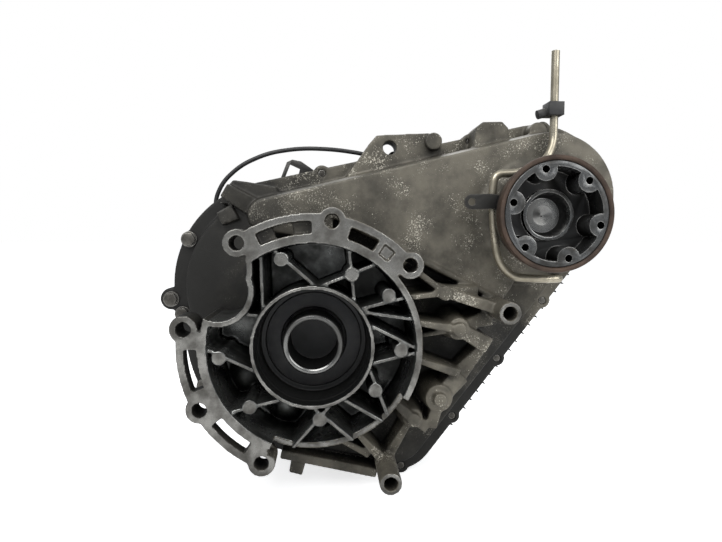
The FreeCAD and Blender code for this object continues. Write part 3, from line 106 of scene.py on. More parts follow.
class Graph:
    """A node tree with short calls to add and join its nodes."""

    def __init__(self, tree: bpy.types.NodeTree) -> None:
        """Wrap a node tree.

        Args:
            tree: The material's or the group's own node tree.
        """
        self.tree = tree

    def add(self, kind: str, **settings: object) -> bpy.types.Node:
        """Add a node and set its properties.

        Args:
            kind: The node's type without its ShaderNode prefix.
            **settings: Property values, and input values given as in_NAME or in_NUMBER.

        Returns:
            The new node.
        """
        node = self.tree.nodes.new("ShaderNode" + kind)
        for key, value in settings.items():
            if key.startswith("in_"):
                slot = key[3:]
                node.inputs[int(slot) if slot.isdigit() else slot.replace("_", " ")].default_value = value
            else:
                setattr(node, key, value)
        return node

    def join(self, source: bpy.types.NodeSocket, target: bpy.types.NodeSocket) -> None:
        """Link one socket to another."""
        self.tree.links.new(source, target)

    def object_point(self) -> bpy.types.NodeSocket:
        """Object coordinates, which are the frame's own metres on every piece."""
        return self.add("TexCoord").outputs["Object"]

    def noise(self, point: bpy.types.NodeSocket, scale: float, detail: float = 4.0,
              rough: float = 0.55) -> bpy.types.NodeSocket:
        """Fractal noise from 0 to 1.

        Args:
            point: Where the noise is read.
            scale: Features per metre.
            detail: Octaves of finer noise.
            rough: Strength of the finer octaves.

        Returns:
            The noise value's socket.
        """
        node = self.add("TexNoise", in_Scale=scale, in_Detail=detail, in_Roughness=rough)
        self.join(point, node.inputs["Vector"])
        return node.outputs["Fac"]

    def feed(self, node: bpy.types.Node, slot: int, value: bpy.types.NodeSocket | float) -> None:
        """Give an input a number, or link a socket to it."""
        if isinstance(value, (int, float)):
            node.inputs[slot].default_value = value
        else:
            self.join(value, node.inputs[slot])

    def ramp(self, value: bpy.types.NodeSocket, low: bpy.types.NodeSocket | float,
             high: bpy.types.NodeSocket | float) -> bpy.types.NodeSocket:
        """Stretch a value so that low gives 0 and high gives 1.

        Args:
            value: The value's socket.
            low: The value that becomes 0.
            high: The value that becomes 1, which may be below low.

        Returns:
            The stretched and clamped value's socket.
        """
        node = self.add("MapRange", interpolation_type="SMOOTHSTEP")
        for slot, given in enumerate((value, low, high)):
            self.feed(node, slot, given)
        return node.outputs[0]

    def maths(self, operation: str, first: bpy.types.NodeSocket | float,
              second: bpy.types.NodeSocket | float = 0.0) -> bpy.types.NodeSocket:
        """Combine two values.

        Args:
            operation: The Math node's operation.
            first: A socket or a number.
            second: A socket or a number.

        Returns:
            The result's socket.
        """
        node = self.add("Math", operation=operation)
        for slot, value in enumerate((first, second)):
            self.feed(node, slot, value)
        return node.outputs[0]

    def blend(self, share: bpy.types.NodeSocket, under: bpy.types.NodeSocket | Colour,
              over: bpy.types.NodeSocket | Colour) -> bpy.types.NodeSocket:
        """Mix two colours.

        Args:
            share: 0 gives the first colour and 1 the second.
            under: The first colour or its socket.
            over: The second colour or its socket.

        Returns:
            The mixed colour's socket.
        """
        node = self.add("Mix", data_type="RGBA")
        self.join(share, node.inputs[0])
        for slot, value in ((6, under), (7, over)):
            if isinstance(value, tuple):
                node.inputs[slot].default_value = (*value, 1.0)
            else:
                self.join(value, node.inputs[slot])
        return node.outputs[2]


class Effect(Enum):
    """Surface effects that several finishes share, each built once as a node group."""

    GRAIN = "cast_grain"
    SPECKS = "corrosion_specks"
    # Painted shade: ambient occlusion darkens corners and pockets.
    GRIME = "painted_corner_shade"
    WEAR = "worn_edges"
    CLOUDS = "stain_clouds"
    # Oil film with painted shade on the deeper faces and the left side.
    FILM = "oil_film_and_painted_shade"
    TURNING = "turning_marks"


class Effects:
    """Builds the shared effect groups and places them in materials."""

    def __init__(self) -> None:
        """Start with no group built."""
        self.groups: dict[Effect, bpy.types.NodeTree] = {}

    def place(self, graph: Graph, effect: Effect, **values: float | tuple) -> bpy.types.NodeSocket:
        """Add one effect to a material.

        Args:
            graph: The material's graph.
            effect: Which effect.
            **values: Values for the group's named inputs.

        Returns:
            The effect's only output.
        """
        if effect not in self.groups:
            self.groups[effect] = getattr(self, "_" + effect.name.lower())(effect.value)
        node = graph.add("Group")
        node.node_tree = self.groups[effect]
        for key, value in values.items():
            node.inputs[key].default_value = value
        return node.outputs[0]

    @staticmethod
    def _group(name: str, sockets: dict[str, float | tuple]) -> tuple[Graph, bpy.types.Node]:
        """Start a group with named inputs.

        Args:
            name: The group's name.
            sockets: Each input's name and its default value.

        Returns:
            The group's graph and its input node.
        """
        tree = bpy.data.node_groups.new(name, "ShaderNodeTree")
        for key, value in sockets.items():
            kind = "NodeSocketVector" if isinstance(value, tuple) else "NodeSocketFloat"
            socket = tree.interface.new_socket(key, in_out="INPUT", socket_type=kind)
            socket.default_value = value
        tree.interface.new_socket("Value", in_out="OUTPUT", socket_type="NodeSocketFloat")
        graph = Graph(tree)
        return graph, tree.nodes.new("NodeGroupInput")

    @staticmethod
    def _close(graph: Graph, value: bpy.types.NodeSocket) -> bpy.types.NodeTree:
        """Give a group its output.

        Args:
            graph: The group's graph.
            value: The socket that the group puts out.

        Returns:
            The finished group.
        """
        out = graph.tree.nodes.new("NodeGroupOutput")
        graph.join(value, out.inputs[0])
        return graph.tree

    def _grain(self, name: str) -> bpy.types.NodeTree:
        """Height of a sand-cast skin: fine grains, shallow waves and scattered pits."""
        graph, given = self._group(name, {"Scale": 900.0, "Pits": 0.5})
        point = graph.object_point()
        fine = graph.add("TexNoise", in_Detail=3.0, in_Roughness=0.6)
        graph.join(point, fine.inputs["Vector"])
        graph.join(given.outputs["Scale"], fine.inputs["Scale"])
        wave = graph.noise(point, 120.0, 2.0)
        cells = graph.add("TexVoronoi", feature="F1")
        graph.join(point, cells.inputs["Vector"])
        graph.join(graph.maths("MULTIPLY", given.outputs["Scale"], 0.45), cells.inputs["Scale"])
        pit = graph.ramp(cells.outputs["Distance"], 0.30, 0.08)
        pit = graph.maths("MULTIPLY", pit, given.outputs["Pits"])
        height = graph.maths("ADD", fine.outputs["Fac"], graph.maths("MULTIPLY", wave, 1.2))
        return self._close(graph, graph.maths("SUBTRACT", height, pit))

    def _specks(self, name: str) -> bpy.types.NodeTree:
        """Mask of small pale corrosion specks that gather in patches."""
        graph, given = self._group(name, {"Scale": 420.0, "Cover": 0.5})
        point = graph.object_point()
        fine = graph.add("TexNoise", in_Detail=5.0, in_Roughness=0.72)
        graph.join(point, fine.inputs["Vector"])
        graph.join(given.outputs["Scale"], fine.inputs["Scale"])
        patch = graph.ramp(graph.noise(point, 34.0, 5.0, 0.6), 0.30, 0.72)
        cover = graph.maths("MULTIPLY", patch, given.outputs["Cover"])
        level = graph.maths("SUBTRACT", 0.70, graph.maths("MULTIPLY", cover, 0.19))
        above = graph.maths("SUBTRACT", fine.outputs["Fac"], level)
        return self._close(graph, graph.ramp(above, 0.0, 0.06))

    def _grime(self, name: str) -> bpy.types.NodeTree:
        """Mask of painted shade that darkens corners and pockets, read from ambient occlusion."""
        graph, given = self._group(name, {"Reach": 0.012, "Amount": 1.0})
        shade = graph.add("AmbientOcclusion", samples=6, only_local=False)
        graph.join(given.outputs["Reach"], shade.inputs["Distance"])
        ragged = graph.noise(graph.object_point(), 90.0, 4.0)
        closed = graph.maths("SUBTRACT", 1.0, shade.outputs["AO"])
        closed = graph.maths("ADD", closed, graph.maths("MULTIPLY",
                                                        graph.maths("SUBTRACT", ragged, 0.5), 0.35))
        return self._close(graph, graph.maths("MULTIPLY", graph.ramp(closed, 0.12, 0.75),
                                              given.outputs["Amount"]))

    def _wear(self, name: str) -> bpy.types.NodeTree:
        """Mask of rubbed and handled edges."""
        graph, given = self._group(name, {"Radius": 0.0014, "Amount": 1.0})
        soft = graph.add("Bevel", samples=6)
        graph.join(given.outputs["Radius"], soft.inputs["Radius"])
        facing = graph.add("VectorMath", operation="DOT_PRODUCT")
        graph.join(soft.outputs[0], facing.inputs[0])
        graph.join(graph.add("NewGeometry").outputs["Normal"], facing.inputs[1])
        bend = graph.maths("SUBTRACT", 1.0, facing.outputs["Value"])
        ragged = graph.ramp(graph.noise(graph.object_point(), 300.0, 4.0), 0.3, 0.7)
        mask = graph.maths("MULTIPLY", graph.ramp(bend, 0.01, 0.12),
                           graph.maths("ADD", graph.maths("MULTIPLY", ragged, 0.6), 0.4))
        return self._close(graph, graph.maths("MULTIPLY", mask, given.outputs["Amount"]))

    def _clouds(self, name: str) -> bpy.types.NodeTree:
        """Broad soft patches of lighter and darker metal."""
        graph, given = self._group(name, {"Scale": 14.0, "Sharp": 0.5})
        node = graph.add("TexNoise", in_Detail=7.0, in_Roughness=0.62)
        graph.join(graph.object_point(), node.inputs["Vector"])
        graph.join(given.outputs["Scale"], node.inputs["Scale"])
        half = graph.maths("SUBTRACT", 0.32, graph.maths("MULTIPLY", given.outputs["Sharp"], 0.2))
        low = graph.maths("SUBTRACT", 0.5, half)
        high = graph.maths("ADD", 0.5, half)
        return self._close(graph, graph.ramp(node.outputs["Fac"], low, high))

    def _film(self, name: str) -> bpy.types.NodeTree:
        """Mask of the oil film and painted shade on the deeper faces below the panel's ridge line and
        over the left side.
        """
        graph, given = self._group(name, {"Front": 0.052, "Back": 0.082, "Right": 0.05,
                                          "Left": -0.12, "Slope": 0.516, "Ridge": 0.137})
        point = graph.object_point()
        place = graph.add("SeparateXYZ")
        graph.join(point, place.inputs[0])
        ragged = graph.maths("MULTIPLY_ADD", graph.noise(point, 24.0, 6.0, 0.65), 0.06)
        ragged.node.inputs[2].default_value = -0.03
        depth = graph.maths("ADD", place.outputs["Y"], graph.maths("MULTIPLY", ragged, 0.6))
        # Painted shade with the oil film: faces further back than Front darken, fully by Back.
        deep = graph.ramp(depth, given.outputs["Front"], given.outputs["Back"])
        rise = graph.maths("ADD", place.outputs["Z"],
                           graph.maths("MULTIPLY", place.outputs["X"], given.outputs["Slope"]))
        rise = graph.maths("SUBTRACT", rise, given.outputs["Ridge"])
        below = graph.ramp(graph.maths("ADD", rise, ragged), 0.012, -0.012)
        across = graph.maths("ADD", place.outputs["X"], graph.maths("MULTIPLY", ragged, 2.0))
        left = graph.ramp(across, given.outputs["Right"], given.outputs["Left"])
        return self._close(graph, graph.maths("MAXIMUM", left, graph.maths("MULTIPLY", deep, below)))

    def _turning(self, name: str) -> bpy.types.NodeTree:
        """Height of the fine rings that a lathe leaves round an axis along the shafts."""
        graph, given = self._group(name, {"Axis": (0.0, 0.0, 0.0), "Pitch": 0.0008})
        offset = graph.add("VectorMath", operation="SUBTRACT")
        graph.join(graph.object_point(), offset.inputs[0])
        graph.join(given.outputs["Axis"], offset.inputs[1])
        flat = graph.add("VectorMath", operation="MULTIPLY", in_1=(1.0, 0.0, 1.0))
        graph.join(offset.outputs[0], flat.inputs[0])
        reach = graph.add("VectorMath", operation="LENGTH")
        graph.join(flat.outputs[0], reach.inputs[0])
        turns = graph.maths("DIVIDE", reach.outputs["Value"], given.outputs["Pitch"])
        ring = graph.maths("SINE", graph.maths("MULTIPLY", turns, math.tau))
        patchy = graph.noise(graph.object_point(), 60.0, 3.0)
        return self._close(graph, graph.maths("MULTIPLY", ring, patchy))


EFFECTS = Effects()


# ---------------------------------------------------------------- finishes

@dataclass(frozen=True)
class Metal:
    """A metal surface with stains, specks, painted shade in its corners, an optional oil film with
    painted shade, and rubbed edges.
    """

    name: str
    light: Colour
    dark: Colour
    rubbed: Colour
    speck: Colour = (0.6, 0.57, 0.5)
    # Colour of the painted shade in corners and pockets.
    grime: Colour = (0.012, 0.011, 0.010)
    metallic: float = 0.6
    roughness: float = 0.55
    roughness_spread: float = 0.25
    cloud_scale: float = 14.0
    cloud_sharp: float = 0.4
    speck_cover: float = 0.0
    speck_scale: float = 420.0
    # Colour of the oil film and painted shade on deeper faces and the left side, or None.
    film: Colour | None = None
    grime_reach: float = 0.014
    grime_amount: float = 0.8
    wear_amount: float = 0.6
    wear_radius: float = 0.0014
    grain_scale: float = 900.0
    grain_depth: float = 0.00012
    pits: float = 0.5
    turned_about: tuple[float, float, float] | None = None
    turning_pitch: float = 0.0009
    turning_depth: float = 0.00002

    def build(self) -> bpy.types.Material:
        """Make the material's node graph.

        Returns:
            The finished material.
        """
        material = bpy.data.materials.new(self.name)
        material.use_nodes = True
        graph = Graph(material.node_tree)
        shader = material.node_tree.nodes["Principled BSDF"]
        clouds = EFFECTS.place(graph, Effect.CLOUDS, Scale=self.cloud_scale, Sharp=self.cloud_sharp)
        colour = graph.blend(clouds, self.dark, self.light)
        if self.speck_cover > 0:
            specks = EFFECTS.place(graph, Effect.SPECKS, Scale=self.speck_scale,
                                   Cover=self.speck_cover)
            colour = graph.blend(specks, colour, self.speck)
        # Oil film and painted shade: deeper faces below the ridge line and the left side are darkened.
        if self.film is not None:
            film = EFFECTS.place(graph, Effect.FILM)
            colour = graph.blend(film, colour, self.film)
        # Painted shade: corners and pockets are darkened towards a near-black colour.
        grime = EFFECTS.place(graph, Effect.GRIME, Reach=self.grime_reach, Amount=self.grime_amount)
        colour = graph.blend(grime, colour, self.grime)
        wear = EFFECTS.place(graph, Effect.WEAR, Radius=self.wear_radius, Amount=self.wear_amount)
        colour = graph.blend(wear, colour, self.rubbed)
        graph.join(colour, shader.inputs["Base Color"])
        shader.inputs["Metallic"].default_value = self.metallic
        gloss = graph.maths("MULTIPLY", clouds, -self.roughness_spread)
        gloss = graph.maths("ADD", gloss, self.roughness + self.roughness_spread / 2)
        gloss = graph.maths("SUBTRACT", gloss, graph.maths("MULTIPLY", wear, 0.15))
        graph.join(gloss, shader.inputs["Roughness"])
        height = EFFECTS.place(graph, Effect.GRAIN, Scale=self.grain_scale, Pits=self.pits)
        bump = graph.add("Bump", in_Strength=1.0, in_Distance=self.grain_depth)
        graph.join(height, bump.inputs["Height"])
        if self.turned_about is not None:
            rings = EFFECTS.place(graph, Effect.TURNING, Axis=self.turned_about,
                                  Pitch=self.turning_pitch)
            groove = graph.add("Bump", in_Strength=1.0, in_Distance=self.turning_depth)
            graph.join(rings, groove.inputs["Height"])
            graph.join(bump.outputs[0], groove.inputs["Normal"])
            bump = groove
        graph.join(bump.outputs[0], shader.inputs["Normal"])
        return material


@dataclass(frozen=True)
class Polymer:
    """Black plastic or rubber with dust on what faces up and a moulded grain."""

    name: str
    colour: Colour
    dust: Colour = (0.20, 0.19, 0.17)
    dust_amount: float = 0.35
    roughness: float = 0.5
    grain_scale: float = 1500.0
    grain_depth: float = 0.00005

    def build(self) -> bpy.types.Material:
        """Make the material's node graph.

        Returns:
            The finished material.
        """
        material = bpy.data.materials.new(self.name)
        material.use_nodes = True
        graph = Graph(material.node_tree)
        shader = material.node_tree.nodes["Principled BSDF"]
        up = graph.add("SeparateXYZ")
        graph.join(graph.add("NewGeometry").outputs["Normal"], up.inputs[0])
        settled = graph.ramp(up.outputs["Z"], 0.0, 1.0)
        ragged = graph.ramp(graph.noise(graph.object_point(), 70.0, 5.0), 0.35, 0.7)
        dusty = graph.maths("ADD", graph.maths("MULTIPLY", settled, 0.6), 0.4)
        dusty = graph.maths("MULTIPLY", dusty, graph.maths("MULTIPLY", ragged, self.dust_amount))
        graph.join(graph.blend(dusty, self.colour, self.dust), shader.inputs["Base Color"])
        gloss = graph.maths("ADD", graph.maths("MULTIPLY", dusty, 0.4), self.roughness)
        graph.join(gloss, shader.inputs["Roughness"])
        height = EFFECTS.place(graph, Effect.GRAIN, Scale=self.grain_scale, Pits=0.2)
        bump = graph.add("Bump", in_Strength=0.8, in_Distance=self.grain_depth)
        graph.join(height, bump.inputs["Height"])
        graph.join(bump.outputs[0], shader.inputs["Normal"])
        return material


class Finishes:
    """Every finish of the transfer case, built once and handed out by slot name."""

    def __init__(self, output_axis: Vector) -> None:
        """Set the finishes up.

        Args:
            output_axis: A point on the front output's axis, for its turning marks.
        """
        self.output_axis = output_axis
        axis = (output_axis.x, 0.0, output_axis.z)
        listed = (
            Metal("cast_alloy", light=(0.168, 0.153, 0.120), dark=(0.058, 0.053, 0.042),
                  rubbed=(0.52, 0.50, 0.45), speck=(0.62, 0.585, 0.49), metallic=0.3,
                  roughness=0.56, speck_cover=1.0, speck_scale=620.0,
                  film=(0.017, 0.0162, 0.0142), grime_amount=0.95, wear_amount=0.8,
                  wear_radius=0.0019, cloud_sharp=0.7, cloud_scale=22.0),
            # A darker copy of cast_alloy: partly oil-blackened metal, partly painted shade for the
            # casings that sit back in shadow.
            Metal("cast_alloy_dark", light=(0.046, 0.043, 0.038), dark=(0.014, 0.0135, 0.012),
                  rubbed=(0.16, 0.15, 0.13), speck=(0.20, 0.19, 0.165), metallic=0.35,
                  roughness=0.42, speck_cover=0.5, speck_scale=620.0, wear_amount=0.4),
            Metal("bell_interior", light=(0.235, 0.238, 0.228), dark=(0.065, 0.066, 0.062),
                  rubbed=(0.62, 0.61, 0.58), metallic=0.85, roughness=0.34, grime_reach=0.016,
                  grime_amount=0.8, pits=0.3, grain_depth=0.00007, cloud_scale=26.0,
                  cloud_sharp=0.8),
            # Painted shadow: a near-black finish for deep bores, which are dark from shade.
            Metal("painted_bore_shadow", light=(0.012, 0.012, 0.0115), dark=(0.004, 0.004, 0.004),
                  rubbed=(0.10, 0.095, 0.09), metallic=0.3, roughness=0.42, pits=0.1,
                  grain_depth=0.00002, wear_amount=0.8, turned_about=(0.0, 0.0, 0.0)),
            Metal("machined_alloy", light=(0.33, 0.323, 0.30), dark=(0.105, 0.10, 0.09),
                  rubbed=(0.82, 0.81, 0.78), speck=(0.12, 0.115, 0.10), speck_cover=0.35,
                  metallic=0.8, roughness=0.34, grime_amount=0.5, grime_reach=0.005, pits=0.1,
                  grain_depth=0.00002, cloud_scale=38.0, cloud_sharp=0.8, wear_amount=1.0),
            Metal("machined_steel", light=(0.30, 0.30, 0.29), dark=(0.10, 0.098, 0.092),
                  rubbed=(0.75, 0.74, 0.72), metallic=0.95, roughness=0.27, grime_amount=0.9,
                  pits=0.1, grain_depth=0.00001, wear_amount=1.0, turned_about=(0.0, 0.0, 0.0)),
            Metal("gear_steel", light=(0.34, 0.34, 0.34), dark=(0.2, 0.2, 0.2),
                  rubbed=(0.6, 0.6, 0.6), metallic=0.95, roughness=0.32, pits=0.1,
                  grain_depth=0.00002),
            Metal("flange_steel", light=(0.155, 0.158, 0.158), dark=(0.050, 0.049, 0.046),
                  rubbed=(0.66, 0.65, 0.62), speck=(0.15, 0.10, 0.07), speck_cover=0.45,
                  metallic=0.85, roughness=0.32, grime_amount=1.0, grime_reach=0.03, pits=0.2,
                  grain_depth=0.00004, cloud_scale=45.0, cloud_sharp=0.8, wear_amount=1.0,
                  turned_about=axis),
            Metal("rusty_steel", light=(0.086, 0.054, 0.036), dark=(0.031, 0.019, 0.013),
                  rubbed=(0.22, 0.165, 0.13), speck=(0.17, 0.115, 0.085), speck_cover=0.6,
                  metallic=0.25, roughness=0.6, cloud_scale=50.0, grain_depth=0.00008),
            Metal("pipe_zinc", light=(0.56, 0.51, 0.40), dark=(0.30, 0.27, 0.205),
                  rubbed=(0.8, 0.76, 0.66), speck=(0.16, 0.13, 0.09), speck_cover=0.4,
                  metallic=0.8, roughness=0.33, pits=0.1, grain_depth=0.00003, cloud_scale=45.0,
                  cloud_sharp=0.7, grime_amount=0.6),
            Metal("zinc_bolt", light=(0.16, 0.152, 0.135), dark=(0.045, 0.041, 0.036),
                  rubbed=(0.55, 0.53, 0.49), speck=(0.14, 0.09, 0.06), speck_cover=0.5,
                  metallic=0.75, roughness=0.4, pits=0.2, grain_depth=0.00004,
                  cloud_scale=80.0, wear_amount=1.0),
            Metal("dark_steel", light=(0.055, 0.053, 0.048), dark=(0.02, 0.0195, 0.018),
                  rubbed=(0.26, 0.24, 0.21), metallic=0.4, roughness=0.45, grain_depth=0.00005),
            Polymer("black_plastic", (0.018, 0.018, 0.019)),
            Polymer("black_rubber", (0.014, 0.014, 0.015), roughness=0.42, dust_amount=0.2),
        )
        self.materials = {finish.name: finish.build() for finish in listed}

    def dress(self, piece: bpy.types.Object, slot: str) -> None:
        """Give a whole piece one finish.

        Args:
            piece: The piece or CAD node.
            slot: The finish's name.
        """
        piece.data.materials.clear()
        piece.data.materials.append(self.materials[slot])


# ---------------------------------------------------------------- modelling helpers

def select_only(piece: bpy.types.Object) -> None:
    """Make one object the only selected and the active one."""
    bpy.ops.object.select_all(action="DESELECT")
    piece.select_set(True)
    bpy.context.view_layer.objects.active = piece


def apply_modifier(piece: bpy.types.Object, kind: str, **settings: object) -> None:
    """Add a modifier, set it and apply it.

    Args:
        piece: The piece to change.
        kind: The modifier's type.
        **settings: Its properties.
    """
    modifier = piece.modifiers.new(kind.lower(), kind)
    for key, value in settings.items():
        setattr(modifier, key, value)
    select_only(piece)
    bpy.ops.object.modifier_apply(modifier=modifier.name)


def copy_node(frame: dict, node: str, name: str) -> bpy.types.Object:
    """Copy a CAD node's mesh into a new piece with its seams merged.

    Args:
        frame: The loaded frame.
        node: The CAD node's name.
        name: The new piece's name.

    Returns:
        The new piece, which rides on nothing yet.
    """
    piece = bpy.data.objects.new(name, frame["nodes"][node].data.copy())
    bpy.context.scene.collection.objects.link(piece)
    select_only(piece)
    bpy.ops.object.mode_set(mode="EDIT")
    bpy.ops.mesh.select_all(action="SELECT")
    bpy.ops.mesh.remove_doubles(threshold=0.002 * MM)
    bpy.ops.object.mode_set(mode="OBJECT")
    return piece


def settle(piece: bpy.types.Object, body: str, slot: str, *nodes: str) -> None:
    """Put a finished piece on its body, in place of CAD nodes.

    Args:
        piece: The finished piece.
        body: The body that it rides on.
        slot: The record's material slot that its finish comes from. Not used.
        *nodes: The CAD nodes that it stands for.
    """
    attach(piece, body)
    if nodes:
        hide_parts(*nodes)
    LOG.info("%s rides on %s: %d faces", piece.name, body, len(piece.data.polygons))


@dataclass(frozen=True)
class Zone:
    """A cylinder along the shafts whose faces take a finish of their own."""

    finish: str
    radius: float
    front: float
    back: float
    centre: tuple[float, float] = (0.0, 0.0)
    hollow: float = 0.0

    def holds(self, point: Vector) -> bool:
        """Whether a point lies in the zone.

        Args:
            point: The point, in metres.

        Returns:
            True if the point lies between the zone's faces and radii.
        """
        reach = math.hypot(point.x - self.centre[0], point.z - self.centre[1])
        return self.front < point.y < self.back and self.hollow < reach < self.radius


def paint(piece: bpy.types.Object, finishes: Finishes, slot: str, zones: tuple[Zone, ...]) -> None:
    """Give a piece its main finish, and the faces in each zone that zone's finish.

    Args:
        piece: The piece.
        finishes: The built finishes.
        slot: The main finish.
        zones: The zones, of which the first that holds a face wins.
    """
    finishes.dress(piece, slot)
    for zone in zones:
        piece.data.materials.append(finishes.materials[zone.finish])
    for face in piece.data.polygons:
        for number, zone in enumerate(zones):
            if zone.holds(face.center):
                face.material_index = number + 1
                break


@dataclass
class Machined:
    """A turned, pressed or moulded part with its sharp edges broken."""

    node: str
    name: str
    body: str
    slot: str
    width: float = 0.5 * MM
    zones: tuple[Zone, ...] = ()

    def build(self, frame: dict, finishes: Finishes) -> bpy.types.Object:
        """Model the part and give it its finishes.

        Args:
            frame: The loaded frame.
            finishes: The built finishes.

        Returns:
            The finished piece.
        """
        piece = copy_node(frame, self.node, self.name)
        select_only(piece)
        bpy.ops.object.mode_set(mode="EDIT")
        bpy.ops.mesh.select_all(action="SELECT")
        bpy.ops.mesh.dissolve_limited(angle_limit=math.radians(1.0))
        bpy.ops.object.mode_set(mode="OBJECT")
        apply_modifier(piece, "BEVEL", width=self.width, segments=2, limit_method="ANGLE",
                       angle_limit=math.radians(38.0))
        select_only(piece)
        bpy.ops.object.shade_smooth_by_angle(angle=math.radians(32.0))
        paint(piece, finishes, self.slot, self.zones)
        settle(piece, self.body, self.slot, self.node)
        return piece


# ---------------------------------------------------------------- castings

@dataclass
class Casting:
    """One sand casting, recast from its solid with the round edges that a mould leaves."""

    node: str
    name: str
    slot: str
    voxel: float = 1.2 * MM
    smoothing: int = 4
    face_limit: int = 180_000
    machined_levels: tuple[float, ...] = ()
    zones: tuple[Zone, ...] = ()

    def build(self, frame: dict, finishes: Finishes) -> bpy.types.Object:
        """Model the casting and give it its finishes.

        Args:
            frame: The loaded frame.
            finishes: The built finishes.

        Returns:
            The finished piece.
        """
        piece = copy_node(frame, self.node, self.name)
        apply_modifier(piece, "REMESH", mode="VOXEL", voxel_size=self.voxel, adaptivity=0.0)
        apply_modifier(piece, "SMOOTH", factor=0.5, iterations=self.smoothing)
        share = min(1.0, self.face_limit / (2 * len(piece.data.polygons)))
        apply_modifier(piece, "DECIMATE", ratio=share)
        select_only(piece)
        bpy.ops.object.shade_smooth()
        self._paint(piece, finishes)
        settle(piece, "case", self.slot, self.node)
        return piece

    def _paint(self, piece: bpy.types.Object, finishes: Finishes) -> None:
        """Give cast and machined faces, oily inner faces and the bores painted black as shadow their own
        finishes by place and facing.

        Args:
            piece: The recast piece.
            finishes: The built finishes.
        """
        paint(piece, finishes, self.slot, self.zones)
        cut = len(piece.data.materials)
        piece.data.materials.append(finishes.materials["machined_alloy"])
        for face in piece.data.polygons:
            level = face.center.y
            if face.normal.y < -0.97 and any(abs(level - seen) < 0.7 * MM
                                             for seen in self.machined_levels):
                face.material_index = cut


# ---------------------------------------------------------------- studio

@dataclass
class Studio:
    """A pale floor and backdrop, soft lights and the camera."""

    camera_place: tuple[float, float, float] = (0.0158, -0.4813, 0.1064)
    yaw: float = 3.52
    pitch: float = 4.05
    lens: float = 25.93
    floor_colour: Colour = (0.86, 0.86, 0.86)
    floor_size: float = 30.0
    floor_glow: float = 0.72

    def build(self) -> None:
        """Make the whole studio."""
        self._floor()
        self._world()
        self._lamp("key_light", (-0.5, -1.1, 1.5), 26.0, 1.4)
        self._lamp("fill_light", (1.2, -1.0, 0.9), 12.0, 1.2)
        self._lamp("rim_light", (0.2, 1.4, 1.3), 14.0, 1.2)
        self._camera()

    def _floor(self) -> None:
        """A broad pale floor just under the part, lifted towards white as the camera sees it."""
        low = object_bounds()[0]
        bpy.ops.object.select_all(action="DESELECT")
        bpy.ops.mesh.primitive_plane_add(size=self.floor_size, location=(0.0, 0.0, low.z))
        floor = bpy.context.object
        floor.name = "floor"
        material = bpy.data.materials.new("pale_floor")
        material.use_nodes = True
        shader = material.node_tree.nodes["Principled BSDF"]
        shader.inputs["Base Color"].default_value = (*self.floor_colour, 1.0)
        shader.inputs["Roughness"].default_value = 0.9
        shader.inputs["Emission Color"].default_value = (1.0, 1.0, 1.0, 1.0)
        graph = Graph(material.node_tree)
        seen = graph.add("LightPath").outputs["Is Camera Ray"]
        graph.join(graph.maths("MULTIPLY", seen, self.floor_glow),
                   shader.inputs["Emission Strength"])
        floor.data.materials.append(material)
        floor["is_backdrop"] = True

    def _world(self) -> None:
        """A soft grey sky that the camera sees as white."""
        world = bpy.data.worlds.new("studio")
        bpy.context.scene.world = world
        world.use_nodes = True
        graph = Graph(world.node_tree)
        light = world.node_tree.nodes["Background"]
        light.inputs[0].default_value = (0.75, 0.78, 0.82, 1.0)
        light.inputs[1].default_value = 0.45
        seen = graph.add("Background", in_Color=(1.0, 1.0, 1.0, 1.0), in_Strength=1.0)
        mix = graph.add("MixShader")
        graph.join(graph.add("LightPath").outputs["Is Camera Ray"], mix.inputs[0])
        graph.join(light.outputs[0], mix.inputs[1])
        graph.join(seen.outputs[0], mix.inputs[2])
        graph.join(mix.outputs[0], world.node_tree.nodes["World Output"].inputs[0])

    def _lamp(self, name: str, place: tuple[float, float, float], power: float,
              size: float) -> None:
        """Add a square soft lamp that faces the part.

        Args:
            name: The lamp's name.
            place: Where it stands, in metres.
            power: Watts.
            size: The side of its square.
        """
        low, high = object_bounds()
        data = bpy.data.lights.new(name, "AREA")
        data.energy = power
        data.size = size
        lamp = bpy.data.objects.new(name, data)
        bpy.context.scene.collection.objects.link(lamp)
        lamp.location = place
        lamp.rotation_euler = ((low + high) / 2 - Vector(place)).to_track_quat("-Z", "Y").to_euler()

    def _camera(self) -> None:
        """The camera in front of the bell, turned a little right and down."""
        data = bpy.data.cameras.new("camera")
        data.lens = self.lens
        data.sensor_width = 36.0
        data.clip_start = 0.01
        camera = bpy.data.objects.new("camera", data)
        bpy.context.scene.collection.objects.link(camera)
        camera.location = self.camera_place
        camera.rotation_euler = (math.radians(90.0 - self.pitch), 0.0, math.radians(-self.yaw))
        bpy.context.scene.camera = camera


# ---------------------------------------------------------------- the whole

def dress_nodes(frame: dict, finishes: Finishes) -> None:
    """Give every CAD node the finish of its own material slot.

    Args:
        frame: The loaded frame.
        finishes: The built finishes.
    """
    slots = {part["node"]: part["material_slot"] for part in frame["record"]["subparts"]}
    for name, node in frame["nodes"].items():
        finishes.dress(node, slots[name])


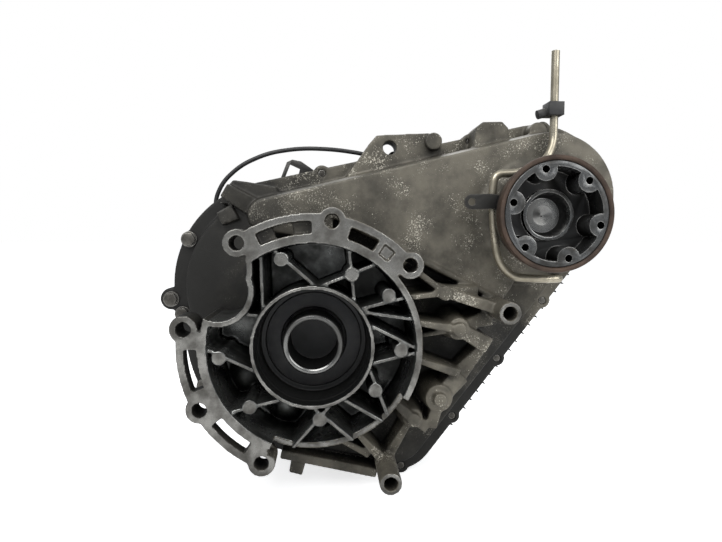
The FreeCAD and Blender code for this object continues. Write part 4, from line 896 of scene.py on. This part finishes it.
def main() -> None:
    """Build every piece in order."""
    logging.basicConfig(level=logging.INFO, format="%(message)s")
    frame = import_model()
    low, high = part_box("front_output_flange")
    finishes = Finishes((low + high) / 2)
    dress_nodes(frame, finishes)
    castings = (
        Casting("bell_housing", "bell_casting", "cast_alloy", voxel=1.1 * MM,
                machined_levels=(0.0, 3 * MM, 4 * MM, 20 * MM),
                # The ring's bore is painted black as shadow.
                zones=(Zone("painted_bore_shadow", 55.6 * MM, 0.6 * MM, 90 * MM),
                       Zone("bell_interior", 98.8 * MM, -MM, 90 * MM))),
        Casting("front_casing", "front_casting", "cast_alloy", voxel=1.3 * MM,
                machined_levels=(0.0,)),
        # The rear casing and tail housing take the darker alloy, partly painted shade.
        Casting("rear_casing", "rear_casting", "cast_alloy_dark", voxel=1.5 * MM,
                face_limit=120_000),
        Casting("tail_housing", "tail_casting", "cast_alloy_dark", voxel=1.2 * MM,
                face_limit=80_000),
    )
    for casting in castings:
        casting.build(frame, finishes)
    axis = (finishes.output_axis.x, finishes.output_axis.z)
    machined = (
        Machined("input_shaft", "input_stub", "input", "machined_steel",
                 # The shaft's bore and the faces behind its nose are painted black as shadow.
                 zones=(Zone("painted_bore_shadow", 24.6 * MM, 17 * MM, 70 * MM),
                        Zone("machined_steel", 80 * MM, 0.0, 16.8 * MM),
                        Zone("painted_bore_shadow", 36 * MM, 16.8 * MM, 80 * MM))),
        Machined("input_seal", "input_lip_seal", "case", "black_rubber", 0.3 * MM),
        # The flange's bore is painted black as shadow.
        Machined("front_output_flange", "output_flange", "front_output", "flange_steel",
                 0.6 * MM, zones=(Zone("painted_bore_shadow", 21.2 * MM, 12.5 * MM, 40 * MM, axis),)),
        Machined("dust_deflector", "output_deflector", "front_output", "rusty_steel", 0.4 * MM),
        Machined("case_bolts", "case_screws", "case", "zinc_bolt", 0.6 * MM),
        Machined("tail_bolts", "tail_screws", "case", "zinc_bolt", 0.6 * MM),
        Machined("pipe_clip", "breather_clip", "case", "black_plastic", 1.2 * MM),
        Machined("pipe_strap", "breather_strap", "case", "dark_steel", 0.3 * MM),
        Machined("wiring_bracket", "wiring_plate", "case", "dark_steel", 0.5 * MM),
        Machined("shift_motor", "shift_actuator", "case", "black_plastic", 1.5 * MM),
        Machined("rear_output_flange", "rear_companion_flange", "mainshaft", "flange_steel",
                 0.6 * MM),
    )
    for part in machined:
        part.build(frame, finishes)
    Studio().build()
    bpy.context.scene.view_settings.view_transform = "Standard"


if __name__ == "__main__":
    main()
